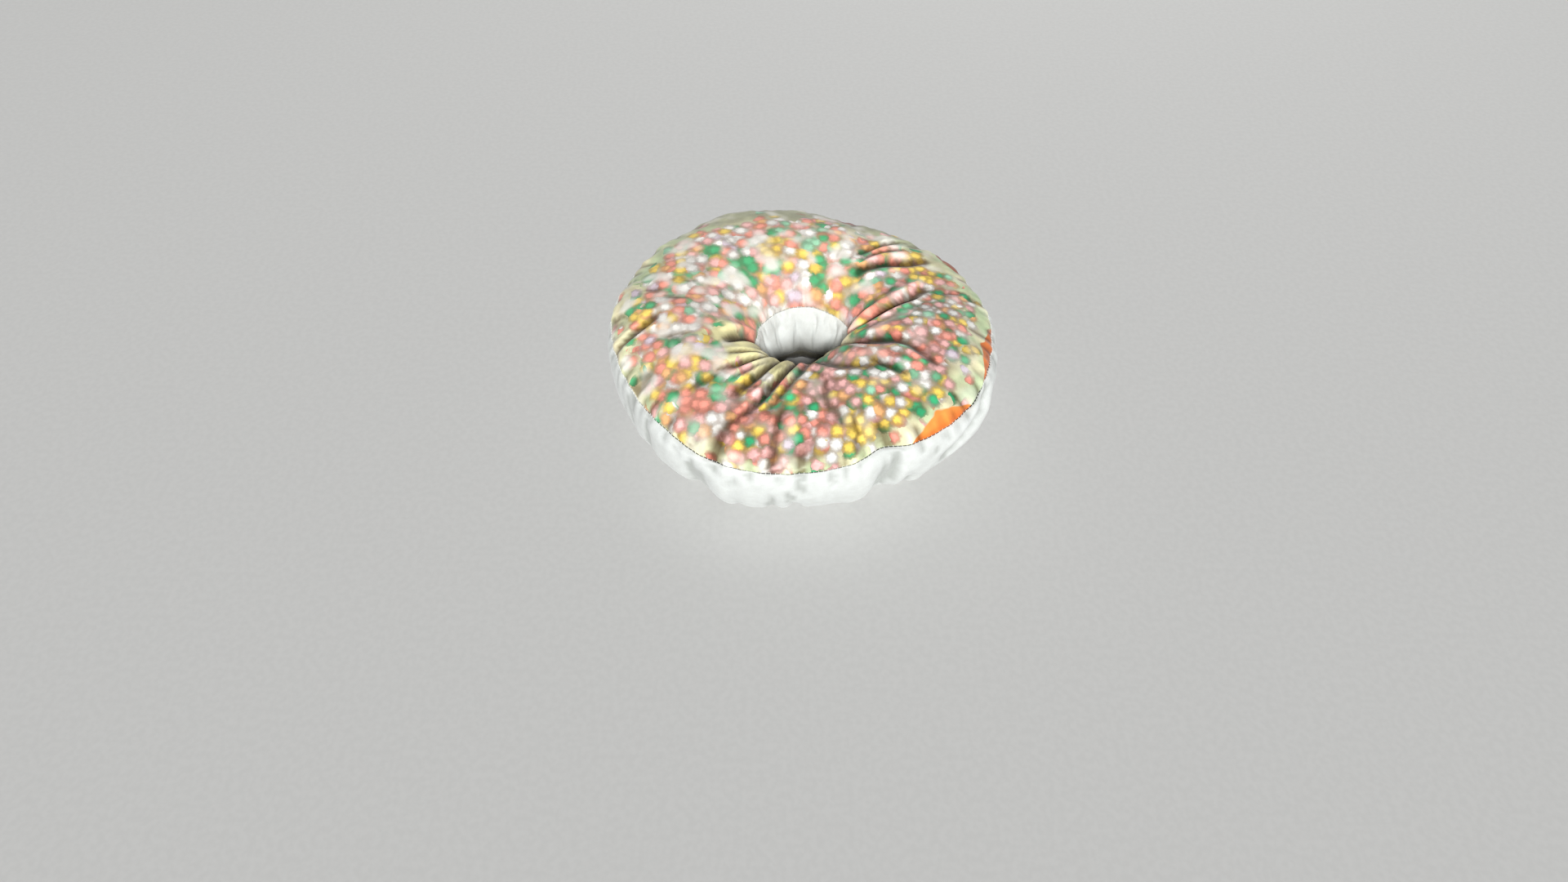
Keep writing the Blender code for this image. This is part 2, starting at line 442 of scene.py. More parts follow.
    @staticmethod
    def draw_waves(draw: np.random.Generator, counts: tuple[int, ...], size: float) -> tuple[Wave, ...]:
        """Draws a set of small waves with free phases.

        Args:
            draw: the seeded source of phases.
            counts: how many times each wave goes round the ring.
            size: the size of each wave, in metres.

        Returns:
            The waves.
        """
        return tuple(Wave(count, size, float(draw.uniform(0.0, 360.0))) for count in counts)

    def span(self, panel: Panel) -> tuple[float, float]:
        """Where a panel starts and ends along the section.

        Args:
            panel: the panel.

        Returns:
            The two distances, in metres.
        """
        foot, rim = self.marks["foot"], self.marks["rim"]
        seam, base = self.marks["top_seam"], self.marks["base_seam"]
        spans = {
            Panel.TUBE: (foot, rim),
            Panel.TOP: (rim, seam),
            Panel.BAND: (seam, base),
            Panel.BASE: (base, self.section.length),
        }
        return spans[panel]

    def seam_at(self, bearing: np.ndarray) -> np.ndarray:
        """Where the seam between print and band lies along the section at each bearing."""
        return self.marks["top_seam"] - sum(lift.at(bearing) for lift in self.seam_lifts)

    def slide(self, bearing: np.ndarray, distance: np.ndarray) -> np.ndarray:
        """Stretches the two panels beside the seam so that their edges follow it.

        Args:
            bearing: bearings round the ring, in radians.
            distance: distances along the section with a level seam, in metres.

        Returns:
            The distances with the seam in its place.
        """
        rim, base, level = self.marks["rim"], self.marks["base_seam"], self.marks["top_seam"]
        seam = self.seam_at(bearing)
        above = rim + (distance - rim) * (seam - rim) / (level - rim)
        below = base - (base - distance) * (base - seam) / (base - level)
        outside = (distance < rim) | (distance > base)
        return np.where(outside, distance, np.where(distance <= level, above, below))

    def folds(
        self, bearing: np.ndarray, distance: np.ndarray, radius: np.ndarray, height: np.ndarray
    ) -> tuple[np.ndarray, np.ndarray]:
        """How far creases, tucks and lumps move the surface.

        Args:
            bearing: bearings round the ring, in radians.
            distance: distances along the section, in metres.
            radius: distances from the ring's axis, in metres.
            height: heights above the floor, in metres.

        Returns:
            The push in metres, and the share of crease valley from 0 to 1.
        """
        rim, seam = self.marks["rim"], self.seam_at(bearing)
        base = self.marks["base_seam"]
        on_tube = distance < rim
        on_top = (distance >= rim) & (distance <= seam)
        tube_fade = smooth_step(height / self.height, self.rim_height - self.tube_fade, self.rim_height)
        fade = np.where(on_tube, tube_fade, np.where(on_top, 1.0, 0.0))
        push = np.zeros_like(radius)
        valley = np.zeros_like(radius)
        for crease in self.creases:
            crease_push, crease_valley = crease.shape(bearing, radius)
            push += crease_push * fade
            share = min(crease.depth / self.full_valley, 1.0)
            valley = np.maximum(valley, crease_valley * fade * share)
        drop = (distance - seam) / (base - seam)
        for tuck in self.tucks:
            push += np.where(distance > rim, tuck.shape(bearing, radius, drop), 0.0)
        for fold in self.band_folds:
            push += np.where(drop > 0.0, fold.shape(bearing, drop), 0.0)
        for pucker in self.puckers:
            push += np.where(on_tube, pucker.shape(bearing, radius, distance / rim), 0.0)
        return push + self.gathers(bearing, distance), valley

    def gathers(self, bearing: np.ndarray, distance: np.ndarray) -> np.ndarray:
        """The small pleats along the seams and the soft lumps between them.

        Args:
            bearing: bearings round the ring, in radians.
            distance: distances along the section, in metres.

        Returns:
            The push in metres.
        """
        length = self.section.length
        push = np.zeros_like(distance)
        rim = self.marks["rim"]
        near = np.exp(-((np.abs(distance - rim) / self.rim_gather_reach) ** self.gather_power))
        near = near * np.where(distance < rim, self.tube_gather_share, 1.0)
        push += near * sum(wave.at(bearing) for wave in self.rim_gathers)
        seam = self.seam_at(bearing)
        for mark in (seam, self.marks["base_seam"]):
            near = np.exp(-((np.abs(distance - mark) / self.seam_gather_reach) ** self.gather_power))
            push += near * sum(wave.at(bearing) for wave in self.seam_gathers)
        for turns, waves in zip((2, 3, 5), self.lump_waves):
            run = 2.0 * pi * turns * distance / length
            push += self.lump_share * np.cos(run + turns) * sum(wave.at(bearing) for wave in waves)
        for mark in (0.0, rim, seam, self.marks["base_seam"], length):
            push -= self.seam_dip * np.exp(-(((distance - mark) / self.seam_half_width) ** 2))
        return push

    def surface(
        self, bearing: np.ndarray, distance: np.ndarray, inset: float = 0.0, folded: bool = True
    ) -> tuple[np.ndarray, np.ndarray]:
        """Finds points of the cushion's surface, or of the surface a little way inside it.

        Args:
            bearing: bearings round the ring, in radians.
            distance: distances along the section, in metres.
            inset: how far inside the surface the points lie, in metres.
            folded: whether creases, tucks and lumps are there.

        Returns:
            The points, and the share of crease valley at each.
        """
        spot, outwards = self.section.place(distance)
        radius, height = spot[..., 0], spot[..., 1]
        hole_radius, belly_radius = self.hole_width / 2.0, self.width / 2.0
        outward = np.clip((radius - hole_radius) / (belly_radius - hole_radius), 0.0, 1.0)
        push = np.full_like(radius, -inset)
        valley = np.zeros_like(radius)
        if folded:
            fold, valley = self.folds(bearing, distance, radius, height)
            push = push + fold
        radius = radius + sum(wave.at(bearing) for wave in self.outline_waves) * outward
        radius = radius + sum(wave.at(bearing) for wave in self.hole_waves) * (1.0 - outward) ** 2
        height = height + sum(wave.at(bearing) for wave in self.crest_waves) * height / self.height
        radius = radius + outwards[..., 0] * push
        height = height + outwards[..., 1] * push
        x = radius * np.cos(bearing) + self.hole_shift[0] * (1.0 - outward)
        y = radius * np.sin(bearing) + self.hole_shift[1] * (1.0 - outward)
        points = np.stack([x, y, np.maximum(height, inset)], axis=-1)
        return points + self.shift, valley

    def find_shift(self) -> np.ndarray:
        """Finds how far the form moves so that its band is where the CAD band is.

        Returns:
            The move, in metres.
        """
        bearing, distance = np.meshgrid(
            np.linspace(0.0, 2.0 * pi, self.fit_columns, endpoint=False),
            np.linspace(*self.span(Panel.BAND), self.fit_rows),
        )
        points, _ = self.surface(bearing, distance, folded=False)
        own = (points.reshape(-1, 3).min(axis=0) + points.reshape(-1, 3).max(axis=0)) / 2.0
        middle = np.mean(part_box(Panel.BAND.value), axis=0)
        return np.array([middle[0] - own[0], middle[1] - own[1], 0.0])

    def plan(self, bearing: np.ndarray, distance: np.ndarray) -> np.ndarray:
        """Where a point lies on its flat panel, on which the print's discs stay round.

        Args:
            bearing: bearings round the ring, in radians.
            distance: distances along the section, in metres.

        Returns:
            Places on the flat panel, in metres.
        """
        stops = np.linspace(0.0, self.section.length, self.plan_stops)
        radii = self.section.place(stops)[0][:, 0]
        turns = np.concatenate(([0.0], np.cumsum(np.diff(stops) * 2.0 / (radii[1:] + radii[:-1]))))
        crest = self.marks["crest"]
        crest_radius = self.section.place(np.array(crest))[0][0]
        growth = np.interp(distance, stops, turns) - np.interp(crest, stops, turns)
        radius = crest_radius * np.exp(growth)
        return np.stack([radius * np.cos(bearing), radius * np.sin(bearing)], axis=-1)


def grid_faces(rows: int, columns: int, closed: bool) -> list[list[int]]:
    """The quads that join rows of points, each of which is a closed ring.

    Args:
        rows: how many rows of points there are.
        columns: how many points each row has.
        closed: whether the last row joins the first one.

    Returns:
        The four indices of each quad, facing out.
    """
    last = rows if closed else rows - 1
    row, column = np.meshgrid(np.arange(last), np.arange(columns), indexing="ij")
    next_row, next_column = (row + 1) % rows, (column + 1) % columns
    corners = (
        row * columns + column,
        row * columns + next_column,
        next_row * columns + next_column,
        next_row * columns + column,
    )
    return np.stack([corner.ravel() for corner in corners], axis=-1).tolist()


@dataclass
class ShellGrid:
    """The grid of points that the panels are cut from: rows along the section, columns round it."""

    form: CushionForm
    columns: int = 256
    rows: tuple[tuple[Panel, int], ...] = (
        (Panel.TUBE, 14), (Panel.TOP, 44), (Panel.BAND, 22), (Panel.BASE, 26),
    )
    crowding: float = 0.55
    probe: float = 0.001
    relief_columns: tuple[int, ...] = (2, 4)
    relief_rows: tuple[int, ...] = (1,)

    def __post_init__(self) -> None:
        """Places the rows and works out the points."""
        distances: list[float] = []
        self.starts: dict[Panel, int] = {}
        for panel, steps in self.rows:
            self.starts[panel] = len(distances)
            start, end = self.form.span(panel)
            even = np.arange(steps) / steps
            crowded = (1.0 - np.cos(pi * even)) / 2.0
            distances += list(start + (end - start) * (even + (crowded - even) * self.crowding))
        self.distances = np.array(distances)
        bearings = -2.0 * pi * np.arange(self.columns) / self.columns
        self.bearing, level = np.meshgrid(bearings, self.distances)
        self.distance = self.form.slide(self.bearing, level)
        self.points, self.valley = self.form.surface(self.bearing, self.distance)
        smooth, _ = self.form.surface(self.bearing, self.distance, folded=False)
        inner, _ = self.form.surface(self.bearing, self.distance, inset=self.probe, folded=False)
        outwards = smooth - inner
        self.outwards = outwards / np.linalg.norm(outwards, axis=-1, keepdims=True)

    def panel_rows(self, panel: Panel) -> np.ndarray:
        """The numbers of a panel's rows, from seam to seam.

        Args:
            panel: the panel.

        Returns:
            The row numbers, with both seam rows.
        """
        steps = dict(self.rows)[panel]
        return (self.starts[panel] + np.arange(steps + 1)) % len(self.distances)

    def sunken(self) -> np.ndarray:
        """Measures folds as how far each point lies below its neighbours.

        The neighbours round the ring show a fold that runs outwards, and those along the section
        show one that runs round. The larger measure of the two counts.

        Returns:
            The depths in metres, less the mean of each row, negative on a ridge.
        """
        outward_fold = self.dip_below(1, self.relief_columns)
        round_fold = self.dip_below(0, self.relief_rows)
        return np.where(np.abs(outward_fold) > np.abs(round_fold), outward_fold, round_fold)

    def dip_below(self, axis: int, steps: tuple[int, ...]) -> np.ndarray:
        """Compares each point with its neighbours along one axis of the grid.

        Args:
            axis: 0 for neighbours in other rows, 1 for neighbours in the same row.
            steps: how many places away the neighbours are.

        Returns:
            How far the point lies below them in metres, less the mean of its row.
        """
        around = np.zeros_like(self.points)
        for step in steps:
            around += np.roll(self.points, step, axis=axis) + np.roll(self.points, -step, axis=axis)
        depth = np.sum((around / (2.0 * len(steps)) - self.points) * self.outwards, axis=-1)
        return depth - depth.mean(axis=1, keepdims=True)

    def seam_rows(self) -> list[int]:
        """The numbers of the four seam rows."""
        return [self.starts[panel] for panel, _ in self.rows]


@dataclass
class ClothPass:
    """A short cloth simulation that swells and wrinkles the shell between its seams.

    The even part of the swelling is taken out again, so that the cushion keeps its size.
    """

    pressure: float = 4.0
    frames: int = 20
    cap: float = 0.0040
    stretch: float = -0.025
    bending: float = 0.6
    stiffness: float = 12.0
    mass: float = 0.15
    quality: int = 6
    floor_gap: float = 1e-5

    def settle(self, grid: ShellGrid) -> None:
        """Runs the simulation and moves the grid's points to where it ends.

        Args:
            grid: the shell's grid, whose points are changed.
        """
        mesh = bpy.data.meshes.new("shell_cloth")
        faces = grid_faces(len(grid.distances), grid.columns, closed=True)
        mesh.from_pydata(grid.points.reshape(-1, 3), [], faces)
        piece = bpy.data.objects.new("shell_cloth", mesh)
        bpy.context.scene.collection.objects.link(piece)
        self.pin(piece, grid)
        self.add_cloth(piece)
        for number in range(1, self.frames + 1):
            bpy.context.scene.frame_set(number)
        evaluated = piece.evaluated_get(bpy.context.evaluated_depsgraph_get())
        settled = np.zeros(len(mesh.vertices) * 3, np.float32)
        evaluated.data.vertices.foreach_get("co", settled)
        bpy.data.objects.remove(piece, do_unlink=True)
        bpy.context.scene.frame_set(1)
        move = settled.reshape(grid.points.shape) - grid.points
        even = np.sum(move * grid.outwards, axis=-1).mean(axis=1)[:, None, None]
        move = move - even * grid.outwards
        size = np.linalg.norm(move, axis=-1, keepdims=True)
        limit = self.cap * np.tanh(size / self.cap) / np.maximum(size, TINY)
        grid.points = grid.points + move * limit
        grid.points[..., 2] = np.maximum(grid.points[..., 2], 0.0)
        swell, most = 1000.0 * even.max(), 1000.0 * size.max()
        LOG.info("cloth swelled rows by %.1f mm and moved points by %.1f mm", swell, most)

    def pin(self, piece: bpy.types.Object, grid: ShellGrid) -> None:
        """Holds the seams and the part of the base that rests on the floor.

        Args:
            piece: the object that is simulated.
            grid: the shell's grid.
        """
        group = piece.vertex_groups.new(name=HELD)
        for row in grid.seam_rows():
            members = row * grid.columns + np.arange(grid.columns)
            group.add(members.tolist(), 1.0, "REPLACE")
        resting = np.flatnonzero(grid.points[..., 2].ravel() < self.floor_gap)
        group.add(resting.tolist(), 1.0, "REPLACE")

    def add_cloth(self, piece: bpy.types.Object) -> None:
        """Adds the Cloth modifier with this pass's values.

        Args:
            piece: the object that is simulated.
        """
        cloth = piece.modifiers.new("cloth", "CLOTH")
        cloth.point_cache.frame_start = 1
        cloth.point_cache.frame_end = self.frames
        settings = cloth.settings
        settings.quality = self.quality
        settings.mass = self.mass
        settings.tension_stiffness = self.stiffness
        settings.compression_stiffness = self.stiffness
        settings.shear_stiffness = self.stiffness / 2.0
        settings.bending_stiffness = self.bending
        settings.use_pressure = True
        settings.uniform_pressure_force = self.pressure
        settings.shrink_min = self.stretch
        settings.vertex_group_mass = HELD
        settings.effector_weights.gravity = 0.0


def linear(red: int, green: int, blue: int) -> Colour:
    """Turns a colour as it looks on a screen into the shader's own scale.

    Args:
        red: 0 to 255.
        green: 0 to 255.
        blue: 0 to 255.

    Returns:
        The colour with full alpha.
    """
    shares = np.array([red, green, blue]) / 255.0
    values = np.where(shares <= 0.04045, shares / 12.92, ((shares + 0.055) / 1.055) ** 2.4)
    return (float(values[0]), float(values[1]), float(values[2]), 1.0)


class Graph:
    """Short ways to add and join shader or geometry nodes in one tree."""

    def __init__(self, tree: bpy.types.NodeTree) -> None:
        """Holds the tree."""
        self.tree = tree

    def node(self, kind: str, **settings: object) -> bpy.types.Node:
        """Adds a node and sets its own properties.

        Args:
            kind: the node's type.
            settings: the properties to set.

        Returns:
            The new node.
        """
        node = self.tree.nodes.new(kind)
        for name, value in settings.items():
            setattr(node, name, value)
        return node

    def feed(self, socket: bpy.types.NodeSocket, value: object) -> None:
        """Gives an input socket a link or a plain value.

        Args:
            socket: the input socket.
            value: an output socket to link, or the value to set.
        """
        if isinstance(value, bpy.types.NodeSocket):
            self.tree.links.new(value, socket)
        else:
            socket.default_value = value

    def math(self, operation: str, *values: object) -> bpy.types.NodeSocket:
        """Adds a Math node.

        Args:
            operation: its operation.
            values: its inputs, as links or numbers.

        Returns:
            Its result.
        """
        node = self.node("ShaderNodeMath", operation=operation)
        for socket, value in zip(node.inputs, values):
            self.feed(socket, value)
        return node.outputs[0]

    def vector(self, operation: str, *values: object) -> bpy.types.NodeSocket:
        """Adds a Vector Math node.

        Args:
            operation: its operation.
            values: its inputs, as links or vectors.

        Returns:
            Its vector, or its value for a length, distance or dot product.
        """
        node = self.node("ShaderNodeVectorMath", operation=operation)
        for socket, value in zip(node.inputs, values):
            self.feed(socket, value)
        return node.outputs["Value" if operation in ("LENGTH", "DISTANCE", "DOT_PRODUCT") else "Vector"]

    def scale(self, colour: object, share: object) -> bpy.types.NodeSocket:
        """Makes a colour lighter or darker.

        Args:
            colour: the colour.
            share: what it is multiplied by.

        Returns:
            The scaled colour.
        """
        node = self.node("ShaderNodeVectorMath", operation="SCALE")
        self.feed(node.inputs["Vector"], colour)
        self.feed(node.inputs["Scale"], share)
        return node.outputs["Vector"]

    def ease(
        self, value: object, low: object, high: object, start: object = 0.0, end: object = 1.0
    ) -> bpy.types.NodeSocket:
        """Maps a value smoothly from one range to another.

        Args:
            value: the value to map.
            low: where the range starts.
            high: where the range ends.
            start: the result at low.
            end: the result at high.

        Returns:
            The mapped value.
        """
        node = self.node("ShaderNodeMapRange", interpolation_type="SMOOTHSTEP")
        names = ("Value", "From Min", "From Max", "To Min", "To Max")
        for name, given in zip(names, (value, low, high, start, end)):
            self.feed(node.inputs[name], given)
        return node.outputs["Result"]

    def blend(
        self, share: object, first: object, second: object, kind: str = "MIX"
    ) -> bpy.types.NodeSocket:
        """Mixes two colours.

        Args:
            share: the share of the second colour.
            first: the first colour.
            second: the second colour.
            kind: the way they mix.

        Returns:
            The mixed colour.
        """
        node = self.node("ShaderNodeMix", data_type="RGBA", blend_type=kind)
        self.feed(node.inputs["Factor"], share)
        self.feed(node.inputs["A"], first)
        self.feed(node.inputs["B"], second)
        return node.outputs["Result"]

    def noise(
        self, place: object, scale: object, detail: float = 2.0, roughness: float = 0.5
    ) -> bpy.types.NodeSocket:
        """Adds a Noise texture.

        Args:
            place: the coordinates.
            scale: features for each metre.
            detail: how many finer layers it has.
            roughness: how strong the finer layers are.

        Returns:
            Its value, about 0.5.
        """
        node = self.node("ShaderNodeTexNoise")
        self.feed(node.inputs["Vector"], place)
        self.feed(node.inputs["Scale"], scale)
        self.feed(node.inputs["Detail"], detail)
        self.feed(node.inputs["Roughness"], roughness)
        return node.outputs["Fac"]


def jitter(graph: Graph, place: object, scale: float, reach: float) -> bpy.types.NodeSocket:
    """Moves places a little at random, so that printed edges look brushed.

    Args:
        graph: the tree.
        place: the places.
        scale: how many turns the random field makes for each metre.
        reach: how far places move, in metres.

    Returns:
        The moved places.
    """
    field = graph.node("ShaderNodeTexNoise")
    graph.feed(field.inputs["Vector"], place)
    graph.feed(field.inputs["Scale"], scale)
    graph.feed(field.inputs["Detail"], 2.0)
    offset = graph.scale(graph.vector("SUBTRACT", field.outputs["Color"], (0.5, 0.5, 0.5)), 2.0 * reach)
    return graph.vector("ADD", place, offset)


class EffectGroup:
    """A shader node group with named inputs and outputs, built once and used by several finishes."""

    name = "effect"
    inputs: tuple[tuple[str, str, object], ...] = ()
    outputs: tuple[tuple[str, str], ...] = ()

    def tree(self) -> bpy.types.NodeTree:
        """Finds the group, or builds it on first use.

        Returns:
            The node group.
        """
        found = bpy.data.node_groups.get(self.name)
        if found:
            return found
        group = bpy.data.node_groups.new(self.name, "ShaderNodeTree")
        for name, kind, value in self.inputs:
            socket = group.interface.new_socket(name, in_out="INPUT", socket_type=kind)
            if value is not None:
                socket.default_value = value
        for name, kind in self.outputs:
            group.interface.new_socket(name, in_out="OUTPUT", socket_type=kind)
        graph = Graph(group)
        given = graph.node("NodeGroupInput").outputs
        results = self.build(graph, given)
        sink = graph.node("NodeGroupOutput")
        for name, result in results.items():
            graph.feed(sink.inputs[name], result)
        return group

    def build(self, graph: Graph, given: bpy.types.NodeOutputs) -> dict[str, bpy.types.NodeSocket]:
        """Adds the group's nodes.

        Args:
            graph: the group's tree.
            given: the group's inputs.

        Returns:
            The result for each output.
        """
        raise NotImplementedError

    def place(self, graph: Graph, **values: object) -> bpy.types.NodeOutputs:
        """Places the group in a material.

        Args:
            graph: the material's tree.
            values: links or values for the inputs, with _ for each space in a name.

        Returns:
            The group's outputs.
        """
        node = graph.node("ShaderNodeGroup")
        node.node_tree = self.tree()
        for name, value in values.items():
            graph.feed(node.inputs[name.replace("_", " ")], value)
        return node.outputs


class PlushPile(EffectGroup):
    """Short brushed pile: a fine uneven height and a soft change of tone."""

    name = "plush_pile"
    inputs = (
        ("Place", "NodeSocketVector", None),
        ("Fibre size", "NodeSocketFloat", 0.0012),
        ("Tuft size", "NodeSocketFloat", 0.008),
    )
    outputs = (("Height", "NodeSocketFloat"), ("Tone", "NodeSocketFloat"))
    fibres_in_height = 0.6
    fibres_in_tone = 0.45

    def build(self, graph: Graph, given: bpy.types.NodeOutputs) -> dict[str, bpy.types.NodeSocket]:
        """Adds the group's nodes.

        Args:
            graph: the group's tree.
            given: the group's inputs.

        Returns:
            The result for each output.
        """
        fibre_scale = graph.math("DIVIDE", 1.0, given["Fibre size"])
        fibres = graph.noise(given["Place"], fibre_scale, detail=3.0, roughness=0.65)
        tuft_scale = graph.math("DIVIDE", 1.0, given["Tuft size"])
        tufts = graph.noise(given["Place"], tuft_scale, detail=2.0, roughness=0.55)
        height = self.mix(graph, fibres, tufts, self.fibres_in_height)
        tone = self.mix(graph, fibres, tufts, self.fibres_in_tone)
        return {"Height": height, "Tone": tone}

    @staticmethod
    def mix(
        graph: Graph, fibres: bpy.types.NodeSocket, tufts: bpy.types.NodeSocket, share: float
    ) -> bpy.types.NodeSocket:
        """Adds the fine and the coarse unevenness.

        Args:
            graph: the group's tree.
            fibres: the fine one.
            tufts: the coarse one.
            share: the share of the fine one.

        Returns:
            Their sum.
        """
        fine = graph.math("MULTIPLY", fibres, share)
        return graph.math("ADD", fine, graph.math("MULTIPLY", tufts, 1.0 - share))


class SprinkleCoat(EffectGroup):
    """One coat of round sprinkles, each a cell of a Voronoi pattern on the flat panel."""

    name = "sprinkle_coat"
    inputs = (
        ("Place", "NodeSocketVector", None),
        ("Shift", "NodeSocketVector", (0.0, 0.0, 0.0)),
        ("Spacing", "NodeSocketFloat", 0.0158),
        ("Radius", "NodeSocketFloat", 0.0056),
        ("Softness", "NodeSocketFloat", 0.0010),
    )
    outputs = (
        ("Cover", "NodeSocketFloat"),
        ("Shadow", "NodeSocketFloat"),
        ("Centre", "NodeSocketVector"),
        ("Rank", "NodeSocketFloat"),
        ("Pick", "NodeSocketFloat"),
        ("Chance", "NodeSocketFloat"),
        ("Dome", "NodeSocketFloat"),
    )
    randomness = 0.78
    least_size = 0.86
    size_range = 0.26
    halo_reach = 0.0018
    dome_span = (0.15, 1.15)

    def build(self, graph: Graph, given: bpy.types.NodeOutputs) -> dict[str, bpy.types.NodeSocket]:
        """Adds the group's nodes.

        Args:
            graph: the group's tree.
            given: the group's inputs.

        Returns:
            The result for each output.
        """
        cells = graph.node("ShaderNodeTexVoronoi", voronoi_dimensions="2D", feature="F1")
        shifted = graph.vector("ADD", given["Place"], given["Shift"])
        graph.feed(cells.inputs["Vector"], shifted)
        graph.feed(cells.inputs["Scale"], graph.math("DIVIDE", 1.0, given["Spacing"]))
        graph.feed(cells.inputs["Randomness"], self.randomness)
        draws = graph.node("ShaderNodeSeparateColor")
        graph.feed(draws.inputs["Color"], cells.outputs["Color"])
        reach = graph.math("MULTIPLY", cells.outputs["Distance"], given["Spacing"])
        size = graph.math("MULTIPLY_ADD", draws.outputs["Blue"], self.size_range, self.least_size)
        radius = graph.math("MULTIPLY", given["Radius"], size)
        inner = graph.math("SUBTRACT", radius, given["Softness"])
        outer = graph.math("ADD", radius, given["Softness"])
        disc = graph.ease(reach, inner, outer, 1.0, 0.0)
        halo = graph.ease(reach, inner, graph.math("ADD", outer, self.halo_reach), 1.0, 0.0)
        dome = graph.ease(graph.math("DIVIDE", reach, radius), *self.dome_span, 1.0, 0.0)
        return {
            "Cover": disc,
            "Shadow": halo,
            "Centre": graph.vector("SUBTRACT", cells.outputs["Position"], given["Shift"]),
            "Rank": draws.outputs["Red"],
            "Pick": draws.outputs["Green"],
            "Chance": draws.outputs["Blue"],
            "Dome": dome,
        }


class ColourPatch(EffectGroup):
    """A region of the print where one colour of sprinkle is more common."""

    name = "colour_patch"
    inputs = (
        ("Colour", "NodeSocketColor", (1.0, 1.0, 1.0, 1.0)),
        ("Centre", "NodeSocketVector", None),
        ("Chance", "NodeSocketFloat", 0.0),
        ("Middle", "NodeSocketVector", (0.0, 0.0, 0.0)),
        ("Reach", "NodeSocketFloat", 0.03),
        ("Share", "NodeSocketFloat", 0.5),
        ("Tint", "NodeSocketColor", (1.0, 1.0, 1.0, 1.0)),
    )
    outputs = (("Colour", "NodeSocketColor"),)

    def build(self, graph: Graph, given: bpy.types.NodeOutputs) -> dict[str, bpy.types.NodeSocket]:
        """Adds the group's nodes.

        Args:
            graph: the group's tree.
            given: the group's inputs.

        Returns:
            The result for each output.
        """
        apart = graph.vector("SUBTRACT", given["Centre"], given["Middle"])
        flat = graph.vector("MULTIPLY", apart, (1.0, 1.0, 0.0))
        near = graph.ease(graph.vector("LENGTH", flat), 0.0, given["Reach"], given["Share"], 0.0)
        chosen = graph.math("LESS_THAN", given["Chance"], near)
        return {"Colour": graph.blend(chosen, given["Colour"], given["Tint"])}


class IcingPlan(EffectGroup):
    """Where on the flat panel the icing is crowded with sprinkles and where it is bare."""

    name = "icing_plan"
    inputs = (
        ("Place", "NodeSocketVector", None),
        ("Cloud", "NodeSocketFloat", 0.5),
    )
    outputs = (
        ("Crowd", "NodeSocketFloat"),
        ("Bare", "NodeSocketFloat"),
        ("Near side", "NodeSocketFloat"),
        ("Far side", "NodeSocketFloat"),
    )
    wander = 0.05
    wedge_bearing = 232.0
    wedge_edge = (0.096, 0.120)
    wedge_cosines = (0.74, 0.86)
    lip_bearing = 297.0
    lip_edge = (0.047, 0.062)
    lip_cosines = (0.60, 0.80)
    crowd_reach = 0.172
    crowd_lean = (0.0, -0.024, 0.0)
    notch_bearing = 326.0
    notch_depth = 0.015
    notch_cosines = (0.70, 1.0)
    crowd_edge = (-0.018, 0.020)
    stray_share = 0.07
    near_side = (-0.06, 0.14)
    far_side = (0.115, 0.160)

    def build(self, graph: Graph, given: bpy.types.NodeOutputs) -> dict[str, bpy.types.NodeSocket]:
        """Adds the group's nodes.

        Args:
            graph: the group's tree.
            given: the group's inputs.

        Returns:
            The result for each output.
        """
        flat = graph.vector("MULTIPLY", given["Place"], (1.0, 1.0, 0.0))
        radius = graph.vector("LENGTH", flat)
        way = graph.vector("NORMALIZE", flat)
        cloud = graph.math("SUBTRACT", given["Cloud"], 0.5)
        wander = graph.math("MULTIPLY_ADD", cloud, self.wander, radius)
        wedge = graph.ease(wander, *self.wedge_edge, 1.0, 0.0)
        aimed = self.towards(graph, way, self.wedge_bearing, self.wedge_cosines)
        wedge = graph.math("MULTIPLY", wedge, aimed)
        lip = graph.ease(radius, *self.lip_edge, 1.0, 0.0)
        aimed = self.towards(graph, way, self.lip_bearing, self.lip_cosines)
        lip = graph.math("MULTIPLY", lip, aimed)
        bare = graph.math("MAXIMUM", wedge, lip)
        limit = graph.math("ADD", graph.vector("DOT_PRODUCT", way, self.crowd_lean), self.crowd_reach)
        notch = self.towards(graph, way, self.notch_bearing, self.notch_cosines)
        limit = graph.math("SUBTRACT", limit, graph.math("MULTIPLY", notch, self.notch_depth))
        beyond = graph.math("SUBTRACT", wander, limit)
        crowd = graph.ease(beyond, *self.crowd_edge, 1.0, self.stray_share)
        axes = graph.node("ShaderNodeSeparateXYZ")
        graph.feed(axes.inputs["Vector"], given["Place"])
        slant = graph.math("SUBTRACT", axes.outputs["X"], axes.outputs["Y"])
        return {
            "Crowd": graph.math("MULTIPLY", crowd, graph.math("SUBTRACT", 1.0, bare)),
            "Bare": bare,
            "Near side": graph.ease(slant, *self.near_side),
            "Far side": graph.ease(axes.outputs["Y"], *self.far_side),
        }

    @staticmethod
    def towards(
        graph: Graph, way: bpy.types.NodeSocket, bearing: float, cosines: tuple[float, float]
    ) -> bpy.types.NodeSocket:
        """How far a direction points to a bearing.

        Args:
            graph: the group's tree.
            way: the direction.
            bearing: the bearing, in degrees.
            cosines: of the angles at which the share starts and at which it is full.

        Returns:
            A share from 0 to 1.
        """
        aim = (cos(radians(bearing)), sin(radians(bearing)), 0.0)
        return graph.ease(graph.vector("DOT_PRODUCT", way, aim), *cosines)


